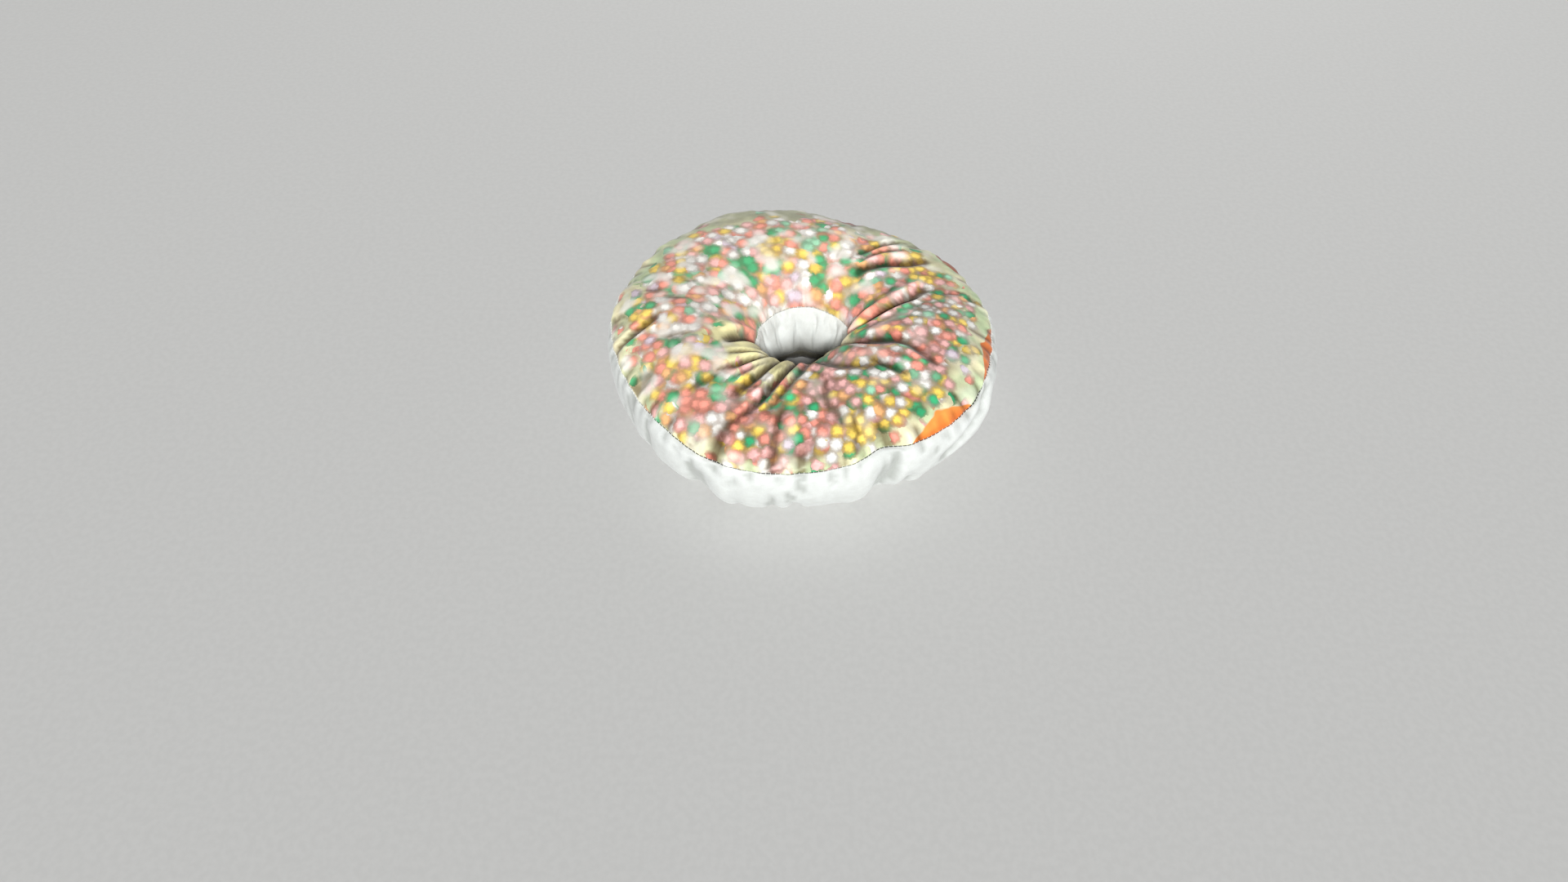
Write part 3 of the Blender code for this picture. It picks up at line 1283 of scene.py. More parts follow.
class DoughEdge(EffectGroup):
    """A lens of bare dough that shows where the icing stops short of the seam."""

    name = "dough_edge"
    inputs = (
        ("Bearing", "NodeSocketFloat", 0.0),
        ("From seam", "NodeSocketFloat", 0.0),
        ("Scallop", "NodeSocketFloat", 0.5),
        ("Middle", "NodeSocketFloat", 0.0),
        ("Half angle", "NodeSocketFloat", 0.2),
        ("Depth", "NodeSocketFloat", 0.02),
    )
    outputs = (("Cover", "NodeSocketFloat"), ("Bake", "NodeSocketFloat"))
    edge_softness = 0.0010
    scallop_range = 0.9
    tips = (0.02, 0.12)

    def build(self, graph: Graph, given: bpy.types.NodeOutputs) -> dict[str, bpy.types.NodeSocket]:
        """Adds the group's nodes.

        Args:
            graph: the group's tree.
            given: the group's inputs.

        Returns:
            The result for each output.
        """
        turn = graph.math("WRAP", graph.math("SUBTRACT", given["Bearing"], given["Middle"]), pi, -pi)
        share = graph.math("DIVIDE", turn, given["Half angle"])
        bulge = graph.math("SUBTRACT", 1.0, graph.math("MULTIPLY", share, share))
        bulge = graph.math("MAXIMUM", bulge, 0.0)
        scallop = graph.math("SUBTRACT", given["Scallop"], 0.5)
        wobble = graph.math("MULTIPLY_ADD", scallop, self.scallop_range, 1.0)
        depth = graph.math("MULTIPLY", graph.math("MULTIPLY", given["Depth"], bulge), wobble)
        inner = graph.math("SUBTRACT", depth, self.edge_softness)
        outer = graph.math("ADD", depth, self.edge_softness)
        cover = graph.ease(given["From seam"], inner, outer, 1.0, 0.0)
        present = graph.ease(bulge, *self.tips)
        bake = graph.ease(given["From seam"], 0.0, depth, 1.0, 0.0)
        return {"Cover": graph.math("MULTIPLY", cover, present), "Bake": bake}


@dataclass(frozen=True)
class Patch:
    """Where on the flat panel one family of sprinkles is common, in millimetres."""

    x: float
    y: float
    reach: float
    share: float
    colour: Colour


@dataclass(frozen=True)
class DoughLens:
    """Where bare dough shows beside the seam: bearing, half angle, depth and its two tones."""

    bearing: float
    half_angle: float
    depth: float
    colour: Colour
    baked: Colour


GREEN = linear(66, 184, 124)
MINT = linear(158, 220, 182)
CORAL = linear(254, 162, 143)
PINK = linear(254, 195, 190)
YELLOW = linear(255, 220, 104)
WHITE = linear(254, 252, 246)
LILAC = linear(228, 212, 226)
ORANGE = linear(252, 190, 130)


@dataclass(frozen=True)
class PrintedPlush:
    """The top panel's finish: plush printed with icing, sprinkles and browned dough."""

    name: str = "printed_plush"
    icing_green: Colour = linear(206, 226, 178)
    icing_cream: Colour = linear(238, 230, 190)
    icing_olive: Colour = linear(242, 236, 178)
    # Painted shade: the grey that the icing takes on the far side, where the top turns away from the light.
    far_rim_shade: Colour = linear(184, 188, 156)
    gap_dark: Colour = linear(140, 100, 74)
    gap_pale: Colour = linear(230, 206, 180)
    glare: Colour = linear(254, 250, 240)
    # Painted sheen: the pale tone that washes over the left and back of the print.
    painted_sheen: Colour = linear(250, 222, 184)
    shade: Colour = linear(84, 70, 44)
    # Painted shade: the tone that the folds are darkened towards, with a painted highlight on the ridges.
    fold: Colour = linear(120, 100, 66)
    shifts: tuple[tuple[float, float, float], ...] = (
        (0.031, 0.017, 0.0), (0.113, 0.071, 0.0), (0.207, 0.139, 0.0), (0.353, 0.251, 0.0),
    )
    palette: tuple[tuple[float, Colour], ...] = (
        (0.00, GREEN), (0.13, MINT), (0.16, CORAL), (0.35, PINK),
        (0.53, YELLOW), (0.68, WHITE), (0.88, LILAC), (0.93, ORANGE),
    )
    patches: tuple[Patch, ...] = (
        Patch(-57, 77, 30, 0.95, GREEN), Patch(23, 74, 24, 1.0, GREEN), Patch(96, 108, 26, 0.8, GREEN),
        Patch(-4, 112, 52, 0.58, MINT), Patch(86, 74, 16, 0.9, GREEN), Patch(100, -8, 16, 0.9, GREEN),
        Patch(110, -96, 42, 0.75, GREEN), Patch(-77, -112, 22, 0.9, GREEN), Patch(-6, -140, 26, 0.9, GREEN),
        Patch(-136, 32, 32, 0.55, GREEN), Patch(-158, -92, 24, 0.8, GREEN), Patch(-86, 16, 20, 0.8, GREEN),
        Patch(-149, -14, 32, 0.60, CORAL), Patch(-122, -84, 36, 0.85, ORANGE),
        Patch(-92, -129, 26, 0.8, CORAL), Patch(-44, -140, 30, 0.95, CORAL),
        Patch(26, -112, 34, 0.95, PINK), Patch(22, -160, 26, 0.8, CORAL),
        Patch(70, 12, 24, 0.75, CORAL), Patch(112, 42, 34, 0.62, PINK), Patch(125, -52, 26, 0.6, PINK),
        Patch(74, 104, 26, 0.30, CORAL), Patch(-97, 88, 20, 0.8, GREEN), Patch(60, -166, 26, 1.0, YELLOW),
        Patch(88, -150, 20, 0.8, YELLOW), Patch(124, 72, 32, 0.5, YELLOW), Patch(34, 92, 22, 0.7, YELLOW),
        Patch(52, 46, 20, 0.9, YELLOW), Patch(-36, 92, 28, 0.7, YELLOW), Patch(-72, 106, 34, 0.6, WHITE),
        Patch(44, 82, 26, 0.7, WHITE), Patch(122, 12, 40, 0.48, WHITE), Patch(86, -100, 20, 0.6, WHITE),
    )
    lenses: tuple[DoughLens, ...] = (
        DoughLens(-46, 11.5, 0.0165, linear(252, 158, 78), linear(240, 126, 54)),
        DoughLens(-12.5, 13.5, 0.0150, linear(226, 128, 66), linear(206, 112, 58)),
        DoughLens(33, 9.0, 0.0200, linear(170, 92, 56), linear(134, 66, 40)),
        DoughLens(74, 9.0, 0.0260, linear(176, 96, 64), linear(134, 68, 44)),
        DoughLens(142, 26.0, 0.0065, linear(206, 160, 116), linear(180, 120, 84)),
    )
    crease_shade_strength: float = 0.9
    fold_shade_share: float = 0.74
    ridge_highlight: float = 0.45
    pile_span: tuple[float, float] = (0.3, 0.7)
    pile_tones: tuple[float, float] = (0.92, 1.05)
    cloud_scale: float = 24.0
    cloud_span: tuple[float, float] = (0.38, 0.64)
    brush_scale: float = 330.0
    brush_reach: float = 0.0024
    crowd_span: tuple[float, float] = (0.35, 1.0)
    gap_share: float = 0.75
    softness: tuple[float, float] = (0.0040, 0.0032)
    radius: tuple[float, float] = (0.0068, 0.0059)
    shadow: tuple[float, float] = (0.22, 0.60)
    dome_light: tuple[float, float] = (0.62, 1.10)
    rank_light: float = 0.10
    painted_sheen_share: float = 0.07
    # Painted shade and light of soft undulations: a coarse noise darkens and lightens the print in patches.
    undulation_shading_scale: float = 52.0
    undulation_shading_span: tuple[float, float] = (0.34, 0.66)
    undulation_shading_tones: tuple[float, float] = (0.84, 1.08)
    glare_scale: float = 34.0
    glare_span: tuple[float, float] = (0.49, 0.68)
    glare_share: float = 0.80
    near_glare: float = 0.35
    scallop_scale: float = 60.0

    def build(self) -> bpy.types.Material:
        """Builds the material.

        Returns:
            The material.
        """
        material = bpy.data.materials.new(self.name)
        material.use_nodes = True
        graph = Graph(material.node_tree)
        shader = material.node_tree.nodes["Principled BSDF"]
        place = graph.node("ShaderNodeAttribute", attribute_name=PLAN).outputs["Vector"]
        valley = graph.node("ShaderNodeAttribute", attribute_name=VALLEY).outputs["Fac"]
        solid = graph.node("ShaderNodeTexCoord").outputs["Object"]
        colour = self.print_colour(graph, place)
        pile = PlushPile().place(graph, Place=solid)
        # Painted shade: the print is darkened towards the shade colour along the crease valleys.
        crease_shade_share = graph.math("MULTIPLY", valley, self.crease_shade_strength)
        colour = graph.blend(crease_shade_share, colour, self.shade, "MULTIPLY")
        colour = paint_fold_shading(graph, colour, self.fold, self.fold_shade_share, self.ridge_highlight)
        colour = graph.scale(colour, graph.ease(pile["Tone"], *self.pile_span, *self.pile_tones))
        graph.feed(shader.inputs["Base Color"], colour)
        dress_plush(graph, shader, pile)
        return material

    def print_colour(self, graph: Graph, place: bpy.types.NodeSocket) -> bpy.types.NodeSocket:
        """The printed picture of icing under coats of sprinkles, with dough beside the seam.

        Args:
            graph: the material's tree.
            place: places on the flat panel.

        Returns:
            The print's colour.
        """
        cloud = graph.noise(place, self.cloud_scale)
        brushed = jitter(graph, place, self.brush_scale, self.brush_reach)
        here = IcingPlan().place(graph, Place=place, Cloud=cloud)
        icing = graph.blend(graph.ease(cloud, *self.cloud_span), self.icing_green, self.icing_cream)
        icing = graph.blend(here["Bare"], icing, self.icing_olive)
        # Painted shade: greys the icing on the far side of the top.
        icing = graph.blend(here["Far side"], icing, self.far_rim_shade)
        near_side = here["Near side"]
        gap = graph.blend(near_side, self.gap_pale, self.gap_dark)
        crowded = graph.ease(here["Crowd"], *self.crowd_span, 0.0, self.gap_share)
        colour = graph.blend(crowded, icing, gap)
        softness = graph.ease(near_side, 0.0, 1.0, *self.softness)
        radius = graph.ease(near_side, 0.0, 1.0, *self.radius)
        for shift in self.shifts:
            coat = SprinkleCoat().place(
                graph, Place=brushed, Shift=shift, Softness=softness, Radius=radius
            )
            there = IcingPlan().place(graph, Place=coat["Centre"], Cloud=cloud)
            present = graph.math("LESS_THAN", coat["Rank"], there["Crowd"])
            shadow = graph.ease(near_side, 0.0, 1.0, *self.shadow)
            shadow = graph.math("MULTIPLY", coat["Shadow"], shadow)
            colour = graph.blend(graph.math("MULTIPLY", shadow, present), colour, self.gap_dark)
            dome = graph.ease(coat["Dome"], 0.0, 1.0, *self.dome_light)
            light = graph.math("ADD", dome, graph.math("MULTIPLY", coat["Rank"], self.rank_light))
            tint = graph.scale(self.sprinkle_tint(graph, coat), light)
            colour = graph.blend(graph.math("MULTIPLY", coat["Cover"], present), colour, tint)
        # Painted sheen: washes the left and back of the print towards a pale tone.
        colour = graph.blend(graph.ease(near_side, 0.0, 1.0, self.painted_sheen_share, 0.0), colour, self.painted_sheen)
        # Painted shade and light of soft undulations, in coarse patches over the print.
        undulation_shading = graph.noise(place, self.undulation_shading_scale, detail=1.0)
        colour = graph.scale(colour, graph.ease(undulation_shading, *self.undulation_shading_span, *self.undulation_shading_tones))
        glare = graph.noise(place, self.glare_scale, detail=1.0)
        glare = graph.ease(glare, *self.glare_span, 0.0, self.glare_share)
        glare = graph.math("MULTIPLY", glare, graph.ease(near_side, 0.0, 1.0, 1.0, self.near_glare))
        return self.add_dough(graph, graph.blend(glare, colour, self.glare), place)

    def add_dough(
        self, graph: Graph, colour: bpy.types.NodeSocket, place: bpy.types.NodeSocket
    ) -> bpy.types.NodeSocket:
        """Lays the lenses of dough over the print.

        Args:
            graph: the material's tree.
            colour: the print so far.
            place: places on the flat panel.

        Returns:
            The colour with dough.
        """
        axes = graph.node("ShaderNodeSeparateXYZ")
        graph.feed(axes.inputs["Vector"], place)
        bearing = graph.math("ARCTAN2", axes.outputs["Y"], axes.outputs["X"])
        scallop = graph.noise(place, self.scallop_scale, detail=1.0)
        from_seam = graph.node("ShaderNodeAttribute", attribute_name=FROM_SEAM).outputs["Fac"]
        for lens in self.lenses:
            dough = DoughEdge().place(
                graph, Bearing=bearing, From_seam=from_seam, Scallop=scallop,
                Middle=radians(lens.bearing), Half_angle=radians(lens.half_angle), Depth=lens.depth,
            )
            tint = graph.blend(dough["Bake"], lens.colour, lens.baked)
            colour = graph.blend(dough["Cover"], colour, tint)
        return colour

    def sprinkle_tint(self, graph: Graph, coat: bpy.types.NodeOutputs) -> bpy.types.NodeSocket:
        """The colour of each sprinkle of a coat.

        Args:
            graph: the material's tree.
            coat: the coat's outputs.

        Returns:
            The colour.
        """
        ramp = graph.node("ShaderNodeValToRGB")
        ramp.color_ramp.interpolation = "CONSTANT"
        ramp.color_ramp.elements.remove(ramp.color_ramp.elements[1])
        ramp.color_ramp.elements[0].color = self.palette[0][1]
        for spot, tint in self.palette[1:]:
            ramp.color_ramp.elements.new(spot).color = tint
        graph.feed(ramp.inputs["Fac"], coat["Pick"])
        colour = ramp.outputs["Color"]
        for patch in self.patches:
            outputs = ColourPatch().place(
                graph, Colour=colour, Centre=coat["Centre"], Chance=coat["Chance"],
                Middle=(patch.x / 1000.0, patch.y / 1000.0, 0.0), Reach=patch.reach / 1000.0,
                Share=patch.share, Tint=patch.colour,
            )
            colour = outputs["Colour"]
        return colour


def paint_fold_shading(
    graph: Graph, colour: bpy.types.NodeSocket, fold: Colour, depth: float, lift: float
) -> bpy.types.NodeSocket:
    """Paints shade into the folds, where the surface lies below its neighbours, and a highlight onto the
    ridges.

    Args:
        graph: the material's tree.
        colour: the colour so far.
        fold: the painted shade at the bottom of a fold.
        depth: the share of that painted shade, from 0 to 1.
        lift: how much the painted highlight lightens a ridge, from 0 to 1.

    Returns:
        The colour with painted shade in its folds and a painted highlight on its ridges.
    """
    sunken = graph.node("ShaderNodeAttribute", attribute_name=SUNKEN).outputs["Fac"]
    raised = graph.node("ShaderNodeAttribute", attribute_name=RAISED).outputs["Fac"]
    colour = graph.blend(graph.math("MULTIPLY", sunken, depth), colour, fold, "MULTIPLY")
    return graph.scale(colour, graph.math("MULTIPLY_ADD", raised, lift, 1.0))


def dress_plush(graph: Graph, shader: bpy.types.Node, pile: bpy.types.NodeOutputs) -> None:
    """Gives a plush shader its soft shine and its pile.

    Args:
        graph: the material's tree.
        shader: its Principled shader.
        pile: the outputs of the pile's group.
    """
    shader.inputs["Roughness"].default_value = 0.95
    shader.inputs["Specular IOR Level"].default_value = 0.15
    shader.inputs["Sheen Weight"].default_value = 0.22
    shader.inputs["Sheen Roughness"].default_value = 0.5
    bump = graph.node("ShaderNodeBump")
    bump.inputs["Strength"].default_value = 0.35
    bump.inputs["Distance"].default_value = 0.0010
    graph.feed(bump.inputs["Height"], pile["Height"])
    graph.feed(shader.inputs["Normal"], bump.outputs["Normal"])


@dataclass(frozen=True)
class WhitePlush:
    """The finish of the band, the tube and the base: short white plush."""

    name: str = "white_plush"
    colour: Colour = linear(231, 235, 232)
    shade: Colour = linear(219, 222, 218)
    # Painted shade: the dark tone that the tube and the base are darkened towards low in the hole.
    painted_hole_shade: Colour = linear(70, 67, 56)
    # Painted shade: the tone that the folds are darkened towards, with a painted highlight on the ridges.
    fold: Colour = linear(188, 190, 185)
    pile_span: tuple[float, float] = (0.25, 0.75)
    fold_shade_share: float = 0.62
    ridge_highlight: float = 0.05

    def build(self) -> bpy.types.Material:
        """Builds the material.

        Returns:
            The material.
        """
        material = bpy.data.materials.new(self.name)
        material.use_nodes = True
        graph = Graph(material.node_tree)
        shader = material.node_tree.nodes["Principled BSDF"]
        solid = graph.node("ShaderNodeTexCoord").outputs["Object"]
        pile = PlushPile().place(graph, Place=solid)
        colour = graph.blend(graph.ease(pile["Tone"], *self.pile_span), self.shade, self.colour)
        # Painted shade: darker towards the bottom of the hole.
        hole_shade = graph.node("ShaderNodeAttribute", attribute_name=HOLE_SHADE).outputs["Fac"]
        colour = graph.blend(hole_shade, colour, self.painted_hole_shade)
        colour = paint_fold_shading(graph, colour, self.fold, self.fold_shade_share, self.ridge_highlight)
        graph.feed(shader.inputs["Base Color"], colour)
        dress_plush(graph, shader, pile)
        return material


@dataclass(frozen=True)
class PlainFinish:
    """A plain uneven finish for the wadding, the thread and the floor."""

    name: str
    colour: Colour
    grain: float = 0.004
    roughness: float = 0.9
    grain_span: tuple[float, float] = (0.3, 0.7)
    least_tone: float = 0.96

    def build(self) -> bpy.types.Material:
        """Builds the material.

        Returns:
            The material.
        """
        material = bpy.data.materials.new(self.name)
        material.use_nodes = True
        graph = Graph(material.node_tree)
        shader = material.node_tree.nodes["Principled BSDF"]
        solid = graph.node("ShaderNodeTexCoord").outputs["Object"]
        grain = graph.noise(solid, 1.0 / self.grain)
        tone = graph.ease(grain, *self.grain_span, self.least_tone, 1.0)
        dimmed = graph.blend(tone, linear(0, 0, 0), self.colour)
        graph.feed(shader.inputs["Base Color"], dimmed)
        shader.inputs["Roughness"].default_value = self.roughness
        return material


@dataclass
class PlushShell:
    """The four sewn panels, cut from one settled grid."""

    grid: ShellGrid
    fabric: float = 0.0016
    levels: int = 1
    fill: float = 0.8
    dim_heights: tuple[float, float] = (0.010, 0.048)
    hole_start: float = 0.8
    foot_reach: tuple[float, float] = (0.035, 0.020)
    relief_depths: tuple[float, float] = (0.0004, 0.0020)
    tube_relief_share: float = 0.3

    def build(self, finishes: dict[Panel, bpy.types.Material]) -> list[bpy.types.Object]:
        """Makes and dresses the panels.

        Args:
            finishes: the material of each panel.

        Returns:
            The panels.
        """
        pieces = []
        for panel in Panel:
            piece = self.cut_panel(panel)
            piece.data.materials.append(finishes[panel])
            pieces.append(piece)
        return pieces

    def cut_panel(self, panel: Panel) -> bpy.types.Object:
        """Cuts one panel from the grid and gives it the fabric's thickness.

        Args:
            panel: the panel.

        Returns:
            Its object.
        """
        rows = self.grid.panel_rows(panel)
        mesh = bpy.data.meshes.new(panel.value + "_cloth")
        points = self.grid.points[rows].reshape(-1, 3)
        mesh.from_pydata(points, [], grid_faces(len(rows), self.grid.columns, closed=False))
        self.write_attributes(mesh, rows)
        mesh.shade_smooth()
        piece = bpy.data.objects.new(panel.value + "_cloth", mesh)
        bpy.context.scene.collection.objects.link(piece)
        cloth = piece.modifiers.new("fabric", "SOLIDIFY")
        cloth.thickness = self.fabric
        cloth.offset = -1.0
        finer = piece.modifiers.new("finer", "SUBSURF")
        finer.levels = self.levels
        finer.render_levels = self.levels
        return piece

    def write_attributes(self, mesh: bpy.types.Mesh, rows: np.ndarray) -> None:
        """Stores on the mesh where the print, the valleys, the folds and the shaded hole lie.

        Args:
            mesh: the panel's mesh.
            rows: the numbers of its rows.
        """
        form = self.grid.form
        rim, length = form.marks["rim"], form.section.length
        bearing, distance = self.grid.bearing[rows], self.grid.distance[rows]
        distance = np.where(rows[:, None] < rows[0], distance + length, distance)
        flat = form.plan(bearing, distance).reshape(-1, 2)
        flat = np.column_stack([flat, np.zeros(len(flat))])
        plan = mesh.attributes.new(PLAN, "FLOAT_VECTOR", "POINT")
        plan.data.foreach_set("vector", flat.ravel().astype(np.float32))
        height = self.grid.points[rows][..., 2]
        foot = [length - reach for reach in self.foot_reach]
        in_hole = 1.0 - smooth_step(distance, self.hole_start * rim, rim)
        in_hole = np.maximum(in_hole, smooth_step(distance, *foot))
        sunken = self.grid.sunken()[rows] * np.where(distance < rim, self.tube_relief_share, 1.0)
        shares = {
            VALLEY: self.grid.valley[rows],
            SUNKEN: smooth_step(sunken, *self.relief_depths),
            RAISED: smooth_step(-sunken, *self.relief_depths),
            FROM_SEAM: form.seam_at(bearing) - distance,
            # Painted shade in the hole, full below the lower of the dim heights and gone above the upper
            # one.
            HOLE_SHADE: in_hole * (1.0 - smooth_step(height, *self.dim_heights)),
        }
        for name, values in shares.items():
            layer = mesh.attributes.new(name, "FLOAT", "POINT")
            layer.data.foreach_set("value", values.ravel().astype(np.float32))


class StitchTree:
    """The geometry node tree that lays thread stitches across a path."""

    name = "stitches_on_path"
    inputs = (
        ("Path", "NodeSocketGeometry"),
        ("Pitch", "NodeSocketFloat"),
        ("Length", "NodeSocketFloat"),
        ("Thread", "NodeSocketFloat"),
        ("Slack", "NodeSocketFloat"),
        ("Seed", "NodeSocketInt"),
        ("Finish", "NodeSocketMaterial"),
    )
    segments = 8
    rings = 5

    def tree(self) -> bpy.types.NodeTree:
        """Finds the tree, or builds it on first use.

        Returns:
            The node tree.
        """
        found = bpy.data.node_groups.get(self.name)
        if found:
            return found
        group = bpy.data.node_groups.new(self.name, "GeometryNodeTree")
        for name, kind in self.inputs:
            group.interface.new_socket(name, in_out="INPUT", socket_type=kind)
        group.interface.new_socket("Stitches", in_out="OUTPUT", socket_type="NodeSocketGeometry")
        graph = Graph(group)
        given = graph.node("NodeGroupInput").outputs
        laid = self.lay(graph, given)
        joined = graph.node("GeometryNodeRealizeInstances")
        graph.feed(joined.inputs["Geometry"], laid)
        dressed = graph.node("GeometryNodeSetMaterial")
        graph.feed(dressed.inputs["Geometry"], joined.outputs["Geometry"])
        graph.feed(dressed.inputs["Material"], given["Finish"])
        graph.feed(graph.node("NodeGroupOutput").inputs["Stitches"], dressed.outputs["Geometry"])
        return group

    def lay(self, graph: Graph, given: bpy.types.NodeOutputs) -> bpy.types.NodeSocket:
        """Adds the nodes that place one thread at each even step of the path.

        Args:
            graph: the tree.
            given: the tree's inputs.

        Returns:
            The placed threads, as instances.
        """
        route = graph.node("GeometryNodeMeshToCurve")
        graph.feed(route.inputs["Mesh"], given["Path"])
        steps = graph.node("GeometryNodeResampleCurve", mode="LENGTH")
        graph.feed(steps.inputs["Curve"], route.outputs["Curve"])
        graph.feed(steps.inputs["Length"], given["Pitch"])
        thread = graph.node("GeometryNodeMeshUVSphere")
        graph.feed(thread.inputs["Segments"], self.segments)
        graph.feed(thread.inputs["Rings"], self.rings)
        graph.feed(thread.inputs["Radius"], 0.5)
        size = graph.node("ShaderNodeCombineXYZ")
        for axis, value in zip("XYZ", ("Length", "Thread", "Thread")):
            graph.feed(size.inputs[axis], given[value])
        shaped = graph.node("GeometryNodeTransform")
        graph.feed(shaped.inputs["Geometry"], thread.outputs["Mesh"])
        graph.feed(shaped.inputs["Scale"], size.outputs["Vector"])
        aim = graph.node("FunctionNodeAlignRotationToVector", axis="X")
        graph.feed(aim.inputs["Vector"], self.direction(graph, given))
        placed = graph.node("GeometryNodeInstanceOnPoints")
        graph.feed(placed.inputs["Points"], steps.outputs["Curve"])
        graph.feed(placed.inputs["Instance"], shaped.outputs["Geometry"])
        graph.feed(placed.inputs["Rotation"], aim.outputs["Rotation"])
        return placed.outputs["Instances"]

    def direction(self, graph: Graph, given: bpy.types.NodeOutputs) -> bpy.types.NodeSocket:
        """Adds the nodes for each thread's own direction, a little off square to the path.

        Args:
            graph: the tree.
            given: the tree's inputs.

        Returns:
            The direction.
        """
        across = graph.node("GeometryNodeInputNamedAttribute", data_type="FLOAT_VECTOR")
        graph.feed(across.inputs["Name"], ACROSS)
        draw = graph.node("FunctionNodeRandomValue", data_type="FLOAT_VECTOR")
        graph.feed(draw.inputs["Min"], (-1.0, -1.0, -1.0))
        graph.feed(draw.inputs["Max"], (1.0, 1.0, 1.0))
        graph.feed(draw.inputs["Seed"], given["Seed"])
        slack = graph.scale(draw.outputs["Value"], given["Slack"])
        return graph.vector("ADD", across.outputs["Attribute"], slack)


@dataclass
class SeamStitches:
    """The thread that shows in the groove of one seam."""

    grid: ShellGrid
    panel: Panel
    pitch: float = 0.0045
    length: float = 0.0030
    thread: float = 0.0006
    slack: float = 0.15
    rise: float = 0.0002
    seed: int = 3

    def build(self, finish: bpy.types.Material) -> bpy.types.Object:
        """Lays the stitches along the seam where a panel starts.

        Args:
            finish: the thread's material.

        Returns:
            The stitches, as one plain mesh.
        """
        name = self.panel.value + "_stitches"
        path = self.lay_path(name)
        modifier = path.modifiers.new("stitches", "NODES")
        modifier.node_group = StitchTree().tree()
        sizes = {
            "Pitch": self.pitch, "Length": self.length, "Thread": self.thread, "Slack": self.slack,
            "Seed": self.seed, "Finish": finish,
        }
        for item in modifier.node_group.interface.items_tree:
            if item.in_out == "INPUT" and item.name in sizes:
                modifier[item.identifier] = sizes[item.name]
        evaluated = path.evaluated_get(bpy.context.evaluated_depsgraph_get())
        mesh = bpy.data.meshes.new_from_object(evaluated)
        mesh.name = name
        mesh.shade_smooth()
        path.modifiers.remove(modifier)
        bpy.data.objects.remove(path, do_unlink=True)
        piece = bpy.data.objects.new(name, mesh)
        bpy.context.scene.collection.objects.link(piece)
        return piece

    def lay_path(self, name: str) -> bpy.types.Object:
        """Makes the closed path along the seam, with the direction across it at each point.

        Args:
            name: the seam's name.

        Returns:
            The path's object.
        """
        row = self.grid.starts[self.panel]
        points = self.grid.points[row] + self.grid.outwards[row] * self.rise
        across = self.grid.points[(row + 1) % len(self.grid.points)] - self.grid.points[row - 1]
        across = across / np.linalg.norm(across, axis=-1, keepdims=True)
        count = len(points)
        mesh = bpy.data.meshes.new(name + "_path")
        mesh.from_pydata(points.tolist(), [(i, (i + 1) % count) for i in range(count)], [])
        layer = mesh.attributes.new(ACROSS, "FLOAT_VECTOR", "POINT")
        layer.data.foreach_set("vector", across.ravel().astype(np.float32))
        path = bpy.data.objects.new(name + "_path", mesh)
        bpy.context.scene.collection.objects.link(path)
        return path


@dataclass
class WaddingRing:
    """The ring of filling inside the panels."""

    grid: ShellGrid
    depth: float = 0.0068
    step: int = 2

    def build(self, finish: bpy.types.Material) -> bpy.types.Object:
        """Makes the ring a little way inside the settled panels.

        Args:
            finish: its material.

        Returns:
            Its object.
        """
        inside = self.grid.points - self.grid.outwards * self.depth
        kept = inside[:: self.step, :: self.step]
        mesh = bpy.data.meshes.new("wadding_ring")
        mesh.from_pydata(kept.reshape(-1, 3), [], grid_faces(*kept.shape[:2], closed=True))
        mesh.shade_smooth()
        mesh.materials.append(finish)
        piece = bpy.data.objects.new("wadding_ring", mesh)
        bpy.context.scene.collection.objects.link(piece)
        return piece


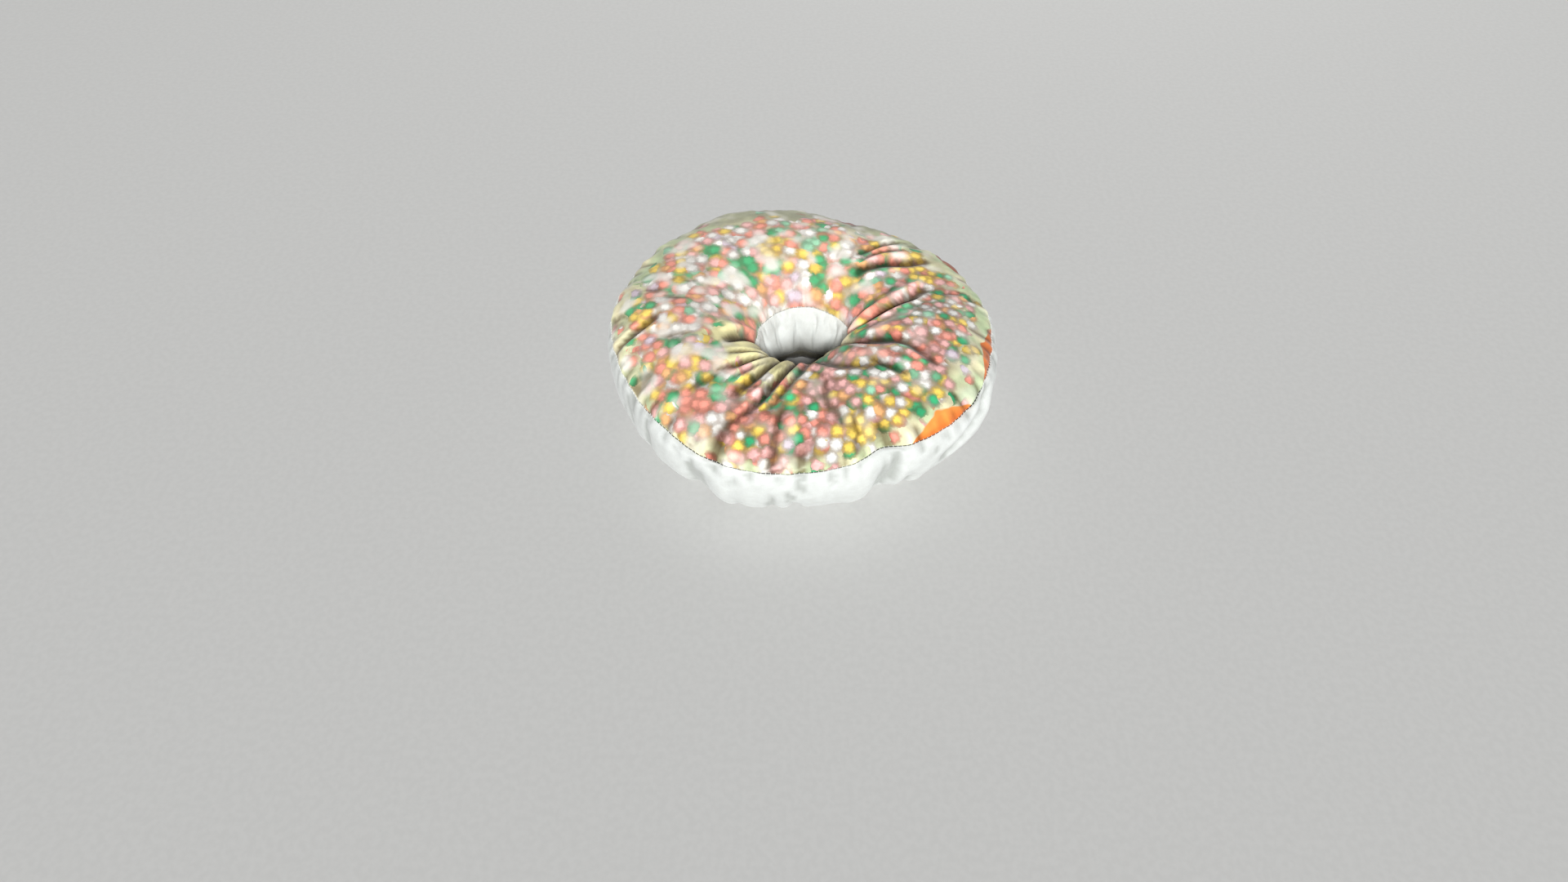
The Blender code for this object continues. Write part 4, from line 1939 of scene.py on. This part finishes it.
@dataclass(frozen=True)
class Studio:
    """The camera at the photograph's angle, the pale floor and the soft lights."""

    image_width: int = 1920
    image_height: int = 1080
    focal_pixels: float = 1304.0
    target_pixel: tuple[float, float] = (987.9, 432.3)
    target_height: float = 0.050
    distance: float = 1.1368
    elevation: float = 43.13
    sensor: float = 36.0
    key_place: tuple[float, float, float] = (0.08, -1.62, 1.40)
    key_strength: float = 3.72
    key_spread: float = 9.0
    fill_place: tuple[float, float, float] = (0.45, 1.7, 1.2)
    fill_power: float = 5.0
    fill_size: float = 1.6
    floor_half: float = 40.0
    even_strength: float = 0.10
    wall: Colour = linear(226, 228, 230)
    wall_strength: float = 0.95

    def add_camera(self, shift: np.ndarray) -> None:
        """Adds the camera so that the target falls on its pixel.

        Args:
            shift: how far the cushion's form was moved onto the frame.
        """
        data = bpy.data.cameras.new("camera")
        data.sensor_width = self.sensor
        data.lens = self.focal_pixels / self.image_width * self.sensor
        camera = bpy.data.objects.new("camera", data)
        bpy.context.scene.collection.objects.link(camera)
        rise = radians(self.elevation)
        camera.location = (
            float(shift[0]),
            float(shift[1]) - self.distance * cos(rise),
            self.target_height + self.distance * sin(rise),
        )
        below = atan((self.image_height / 2.0 - self.target_pixel[1]) / self.focal_pixels)
        aside = atan((self.target_pixel[0] - self.image_width / 2.0) / self.focal_pixels)
        camera.rotation_euler = (pi / 2.0 - rise - below, 0.0, aside)
        bpy.context.scene.camera = camera

    def add_floor(self, finish: bpy.types.Material) -> bpy.types.Object:
        """Adds the pale floor.

        Args:
            finish: its material.

        Returns:
            The floor.
        """
        half = self.floor_half
        corners = [(-half, -half, 0), (half, -half, 0), (half, half, 0), (-half, half, 0)]
        mesh = bpy.data.meshes.new("floor")
        mesh.from_pydata(corners, [], [(0, 1, 2, 3)])
        mesh.materials.append(finish)
        floor = bpy.data.objects.new("floor", mesh)
        bpy.context.scene.collection.objects.link(floor)
        return floor

    def aim(self, light: bpy.types.Object, place: tuple[float, float, float]) -> None:
        """Puts a light in its place and turns it to the cushion.

        Args:
            light: the light.
            place: where it hangs, in metres.
        """
        light.location = place
        away = np.array([0.0, 0.0, self.target_height]) - np.array(place)
        tilt = float(np.arctan2(np.hypot(away[0], away[1]), -away[2]))
        turn = float(np.arctan2(away[1], away[0])) - pi / 2.0
        light.rotation_euler = (tilt, 0.0, turn)
        bpy.context.scene.collection.objects.link(light)

    def add_lights(self) -> None:
        """Adds an even key light from the front and above, and a weak broad fill from behind."""
        key = bpy.data.lights.new("key", "SUN")
        key.energy = self.key_strength
        key.angle = radians(self.key_spread)
        self.aim(bpy.data.objects.new("key", key), self.key_place)
        fill = bpy.data.lights.new("fill", "AREA")
        fill.size = self.fill_size
        fill.energy = self.fill_power
        self.aim(bpy.data.objects.new("fill", fill), self.fill_place)

    def add_world(self) -> None:
        """Sets the even light from all round, with a pale wall behind the cushion."""
        world = bpy.data.worlds.new("even_light")
        world.use_nodes = True
        graph = Graph(world.node_tree)
        background = world.node_tree.nodes["Background"]
        background.inputs["Color"].default_value = self.wall
        seen = graph.node("ShaderNodeLightPath").outputs["Is Camera Ray"]
        extra = self.wall_strength - self.even_strength
        shown = graph.math("MULTIPLY_ADD", seen, extra, self.even_strength)
        graph.feed(background.inputs["Strength"], shown)
        bpy.context.scene.world = world


def report(piece: bpy.types.Object) -> None:
    """Logs a piece's name and size.

    Args:
        piece: the piece.
    """
    size = ", ".join(f"{1000.0 * side:.0f}" for side in piece.dimensions)
    LOG.info("%s: %d faces before its modifiers, %s mm", piece.name, len(piece.data.polygons), size)


def main() -> None:
    """Builds the cushion, parents its pieces to the body, hides the CAD parts they replace and sets the
    studio.
    """
    logging.basicConfig(level=logging.INFO, format="%(name)s: %(message)s")
    bpy.context.scene.view_settings.view_transform = "Standard"
    form = CushionForm()
    grid = ShellGrid(form)
    ClothPass().settle(grid)
    white = WhitePlush().build()
    finishes = {panel: white for panel in Panel}
    finishes[Panel.TOP] = PrintedPlush().build()
    shell = PlushShell(grid)
    slots = {panel: "white_plush" for panel in Panel}
    slots[Panel.TOP] = "printed_plush"
    for panel, piece in zip(Panel, shell.build(finishes)):
        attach(piece, BODY)
        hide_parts(panel.value)
        report(piece)
    thread = PlainFinish("thread", linear(238, 238, 232), grain=0.001, roughness=0.7).build()
    for panel in (Panel.TOP, Panel.BAND, Panel.BASE):
        stitches = SeamStitches(grid, panel).build(thread)
        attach(stitches, BODY)
        report(stitches)
    wadding = WaddingRing(grid).build(PlainFinish("wadding", linear(236, 234, 226)).build())
    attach(wadding, BODY)
    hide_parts("stuffing")
    report(wadding)
    studio = Studio()
    studio.add_camera(form.shift)
    pale = PlainFinish("pale_floor", linear(208, 208, 206), grain=0.006).build()
    studio.add_floor(pale)
    studio.add_lights()
    studio.add_world()


if __name__ == "__main__":
    main()
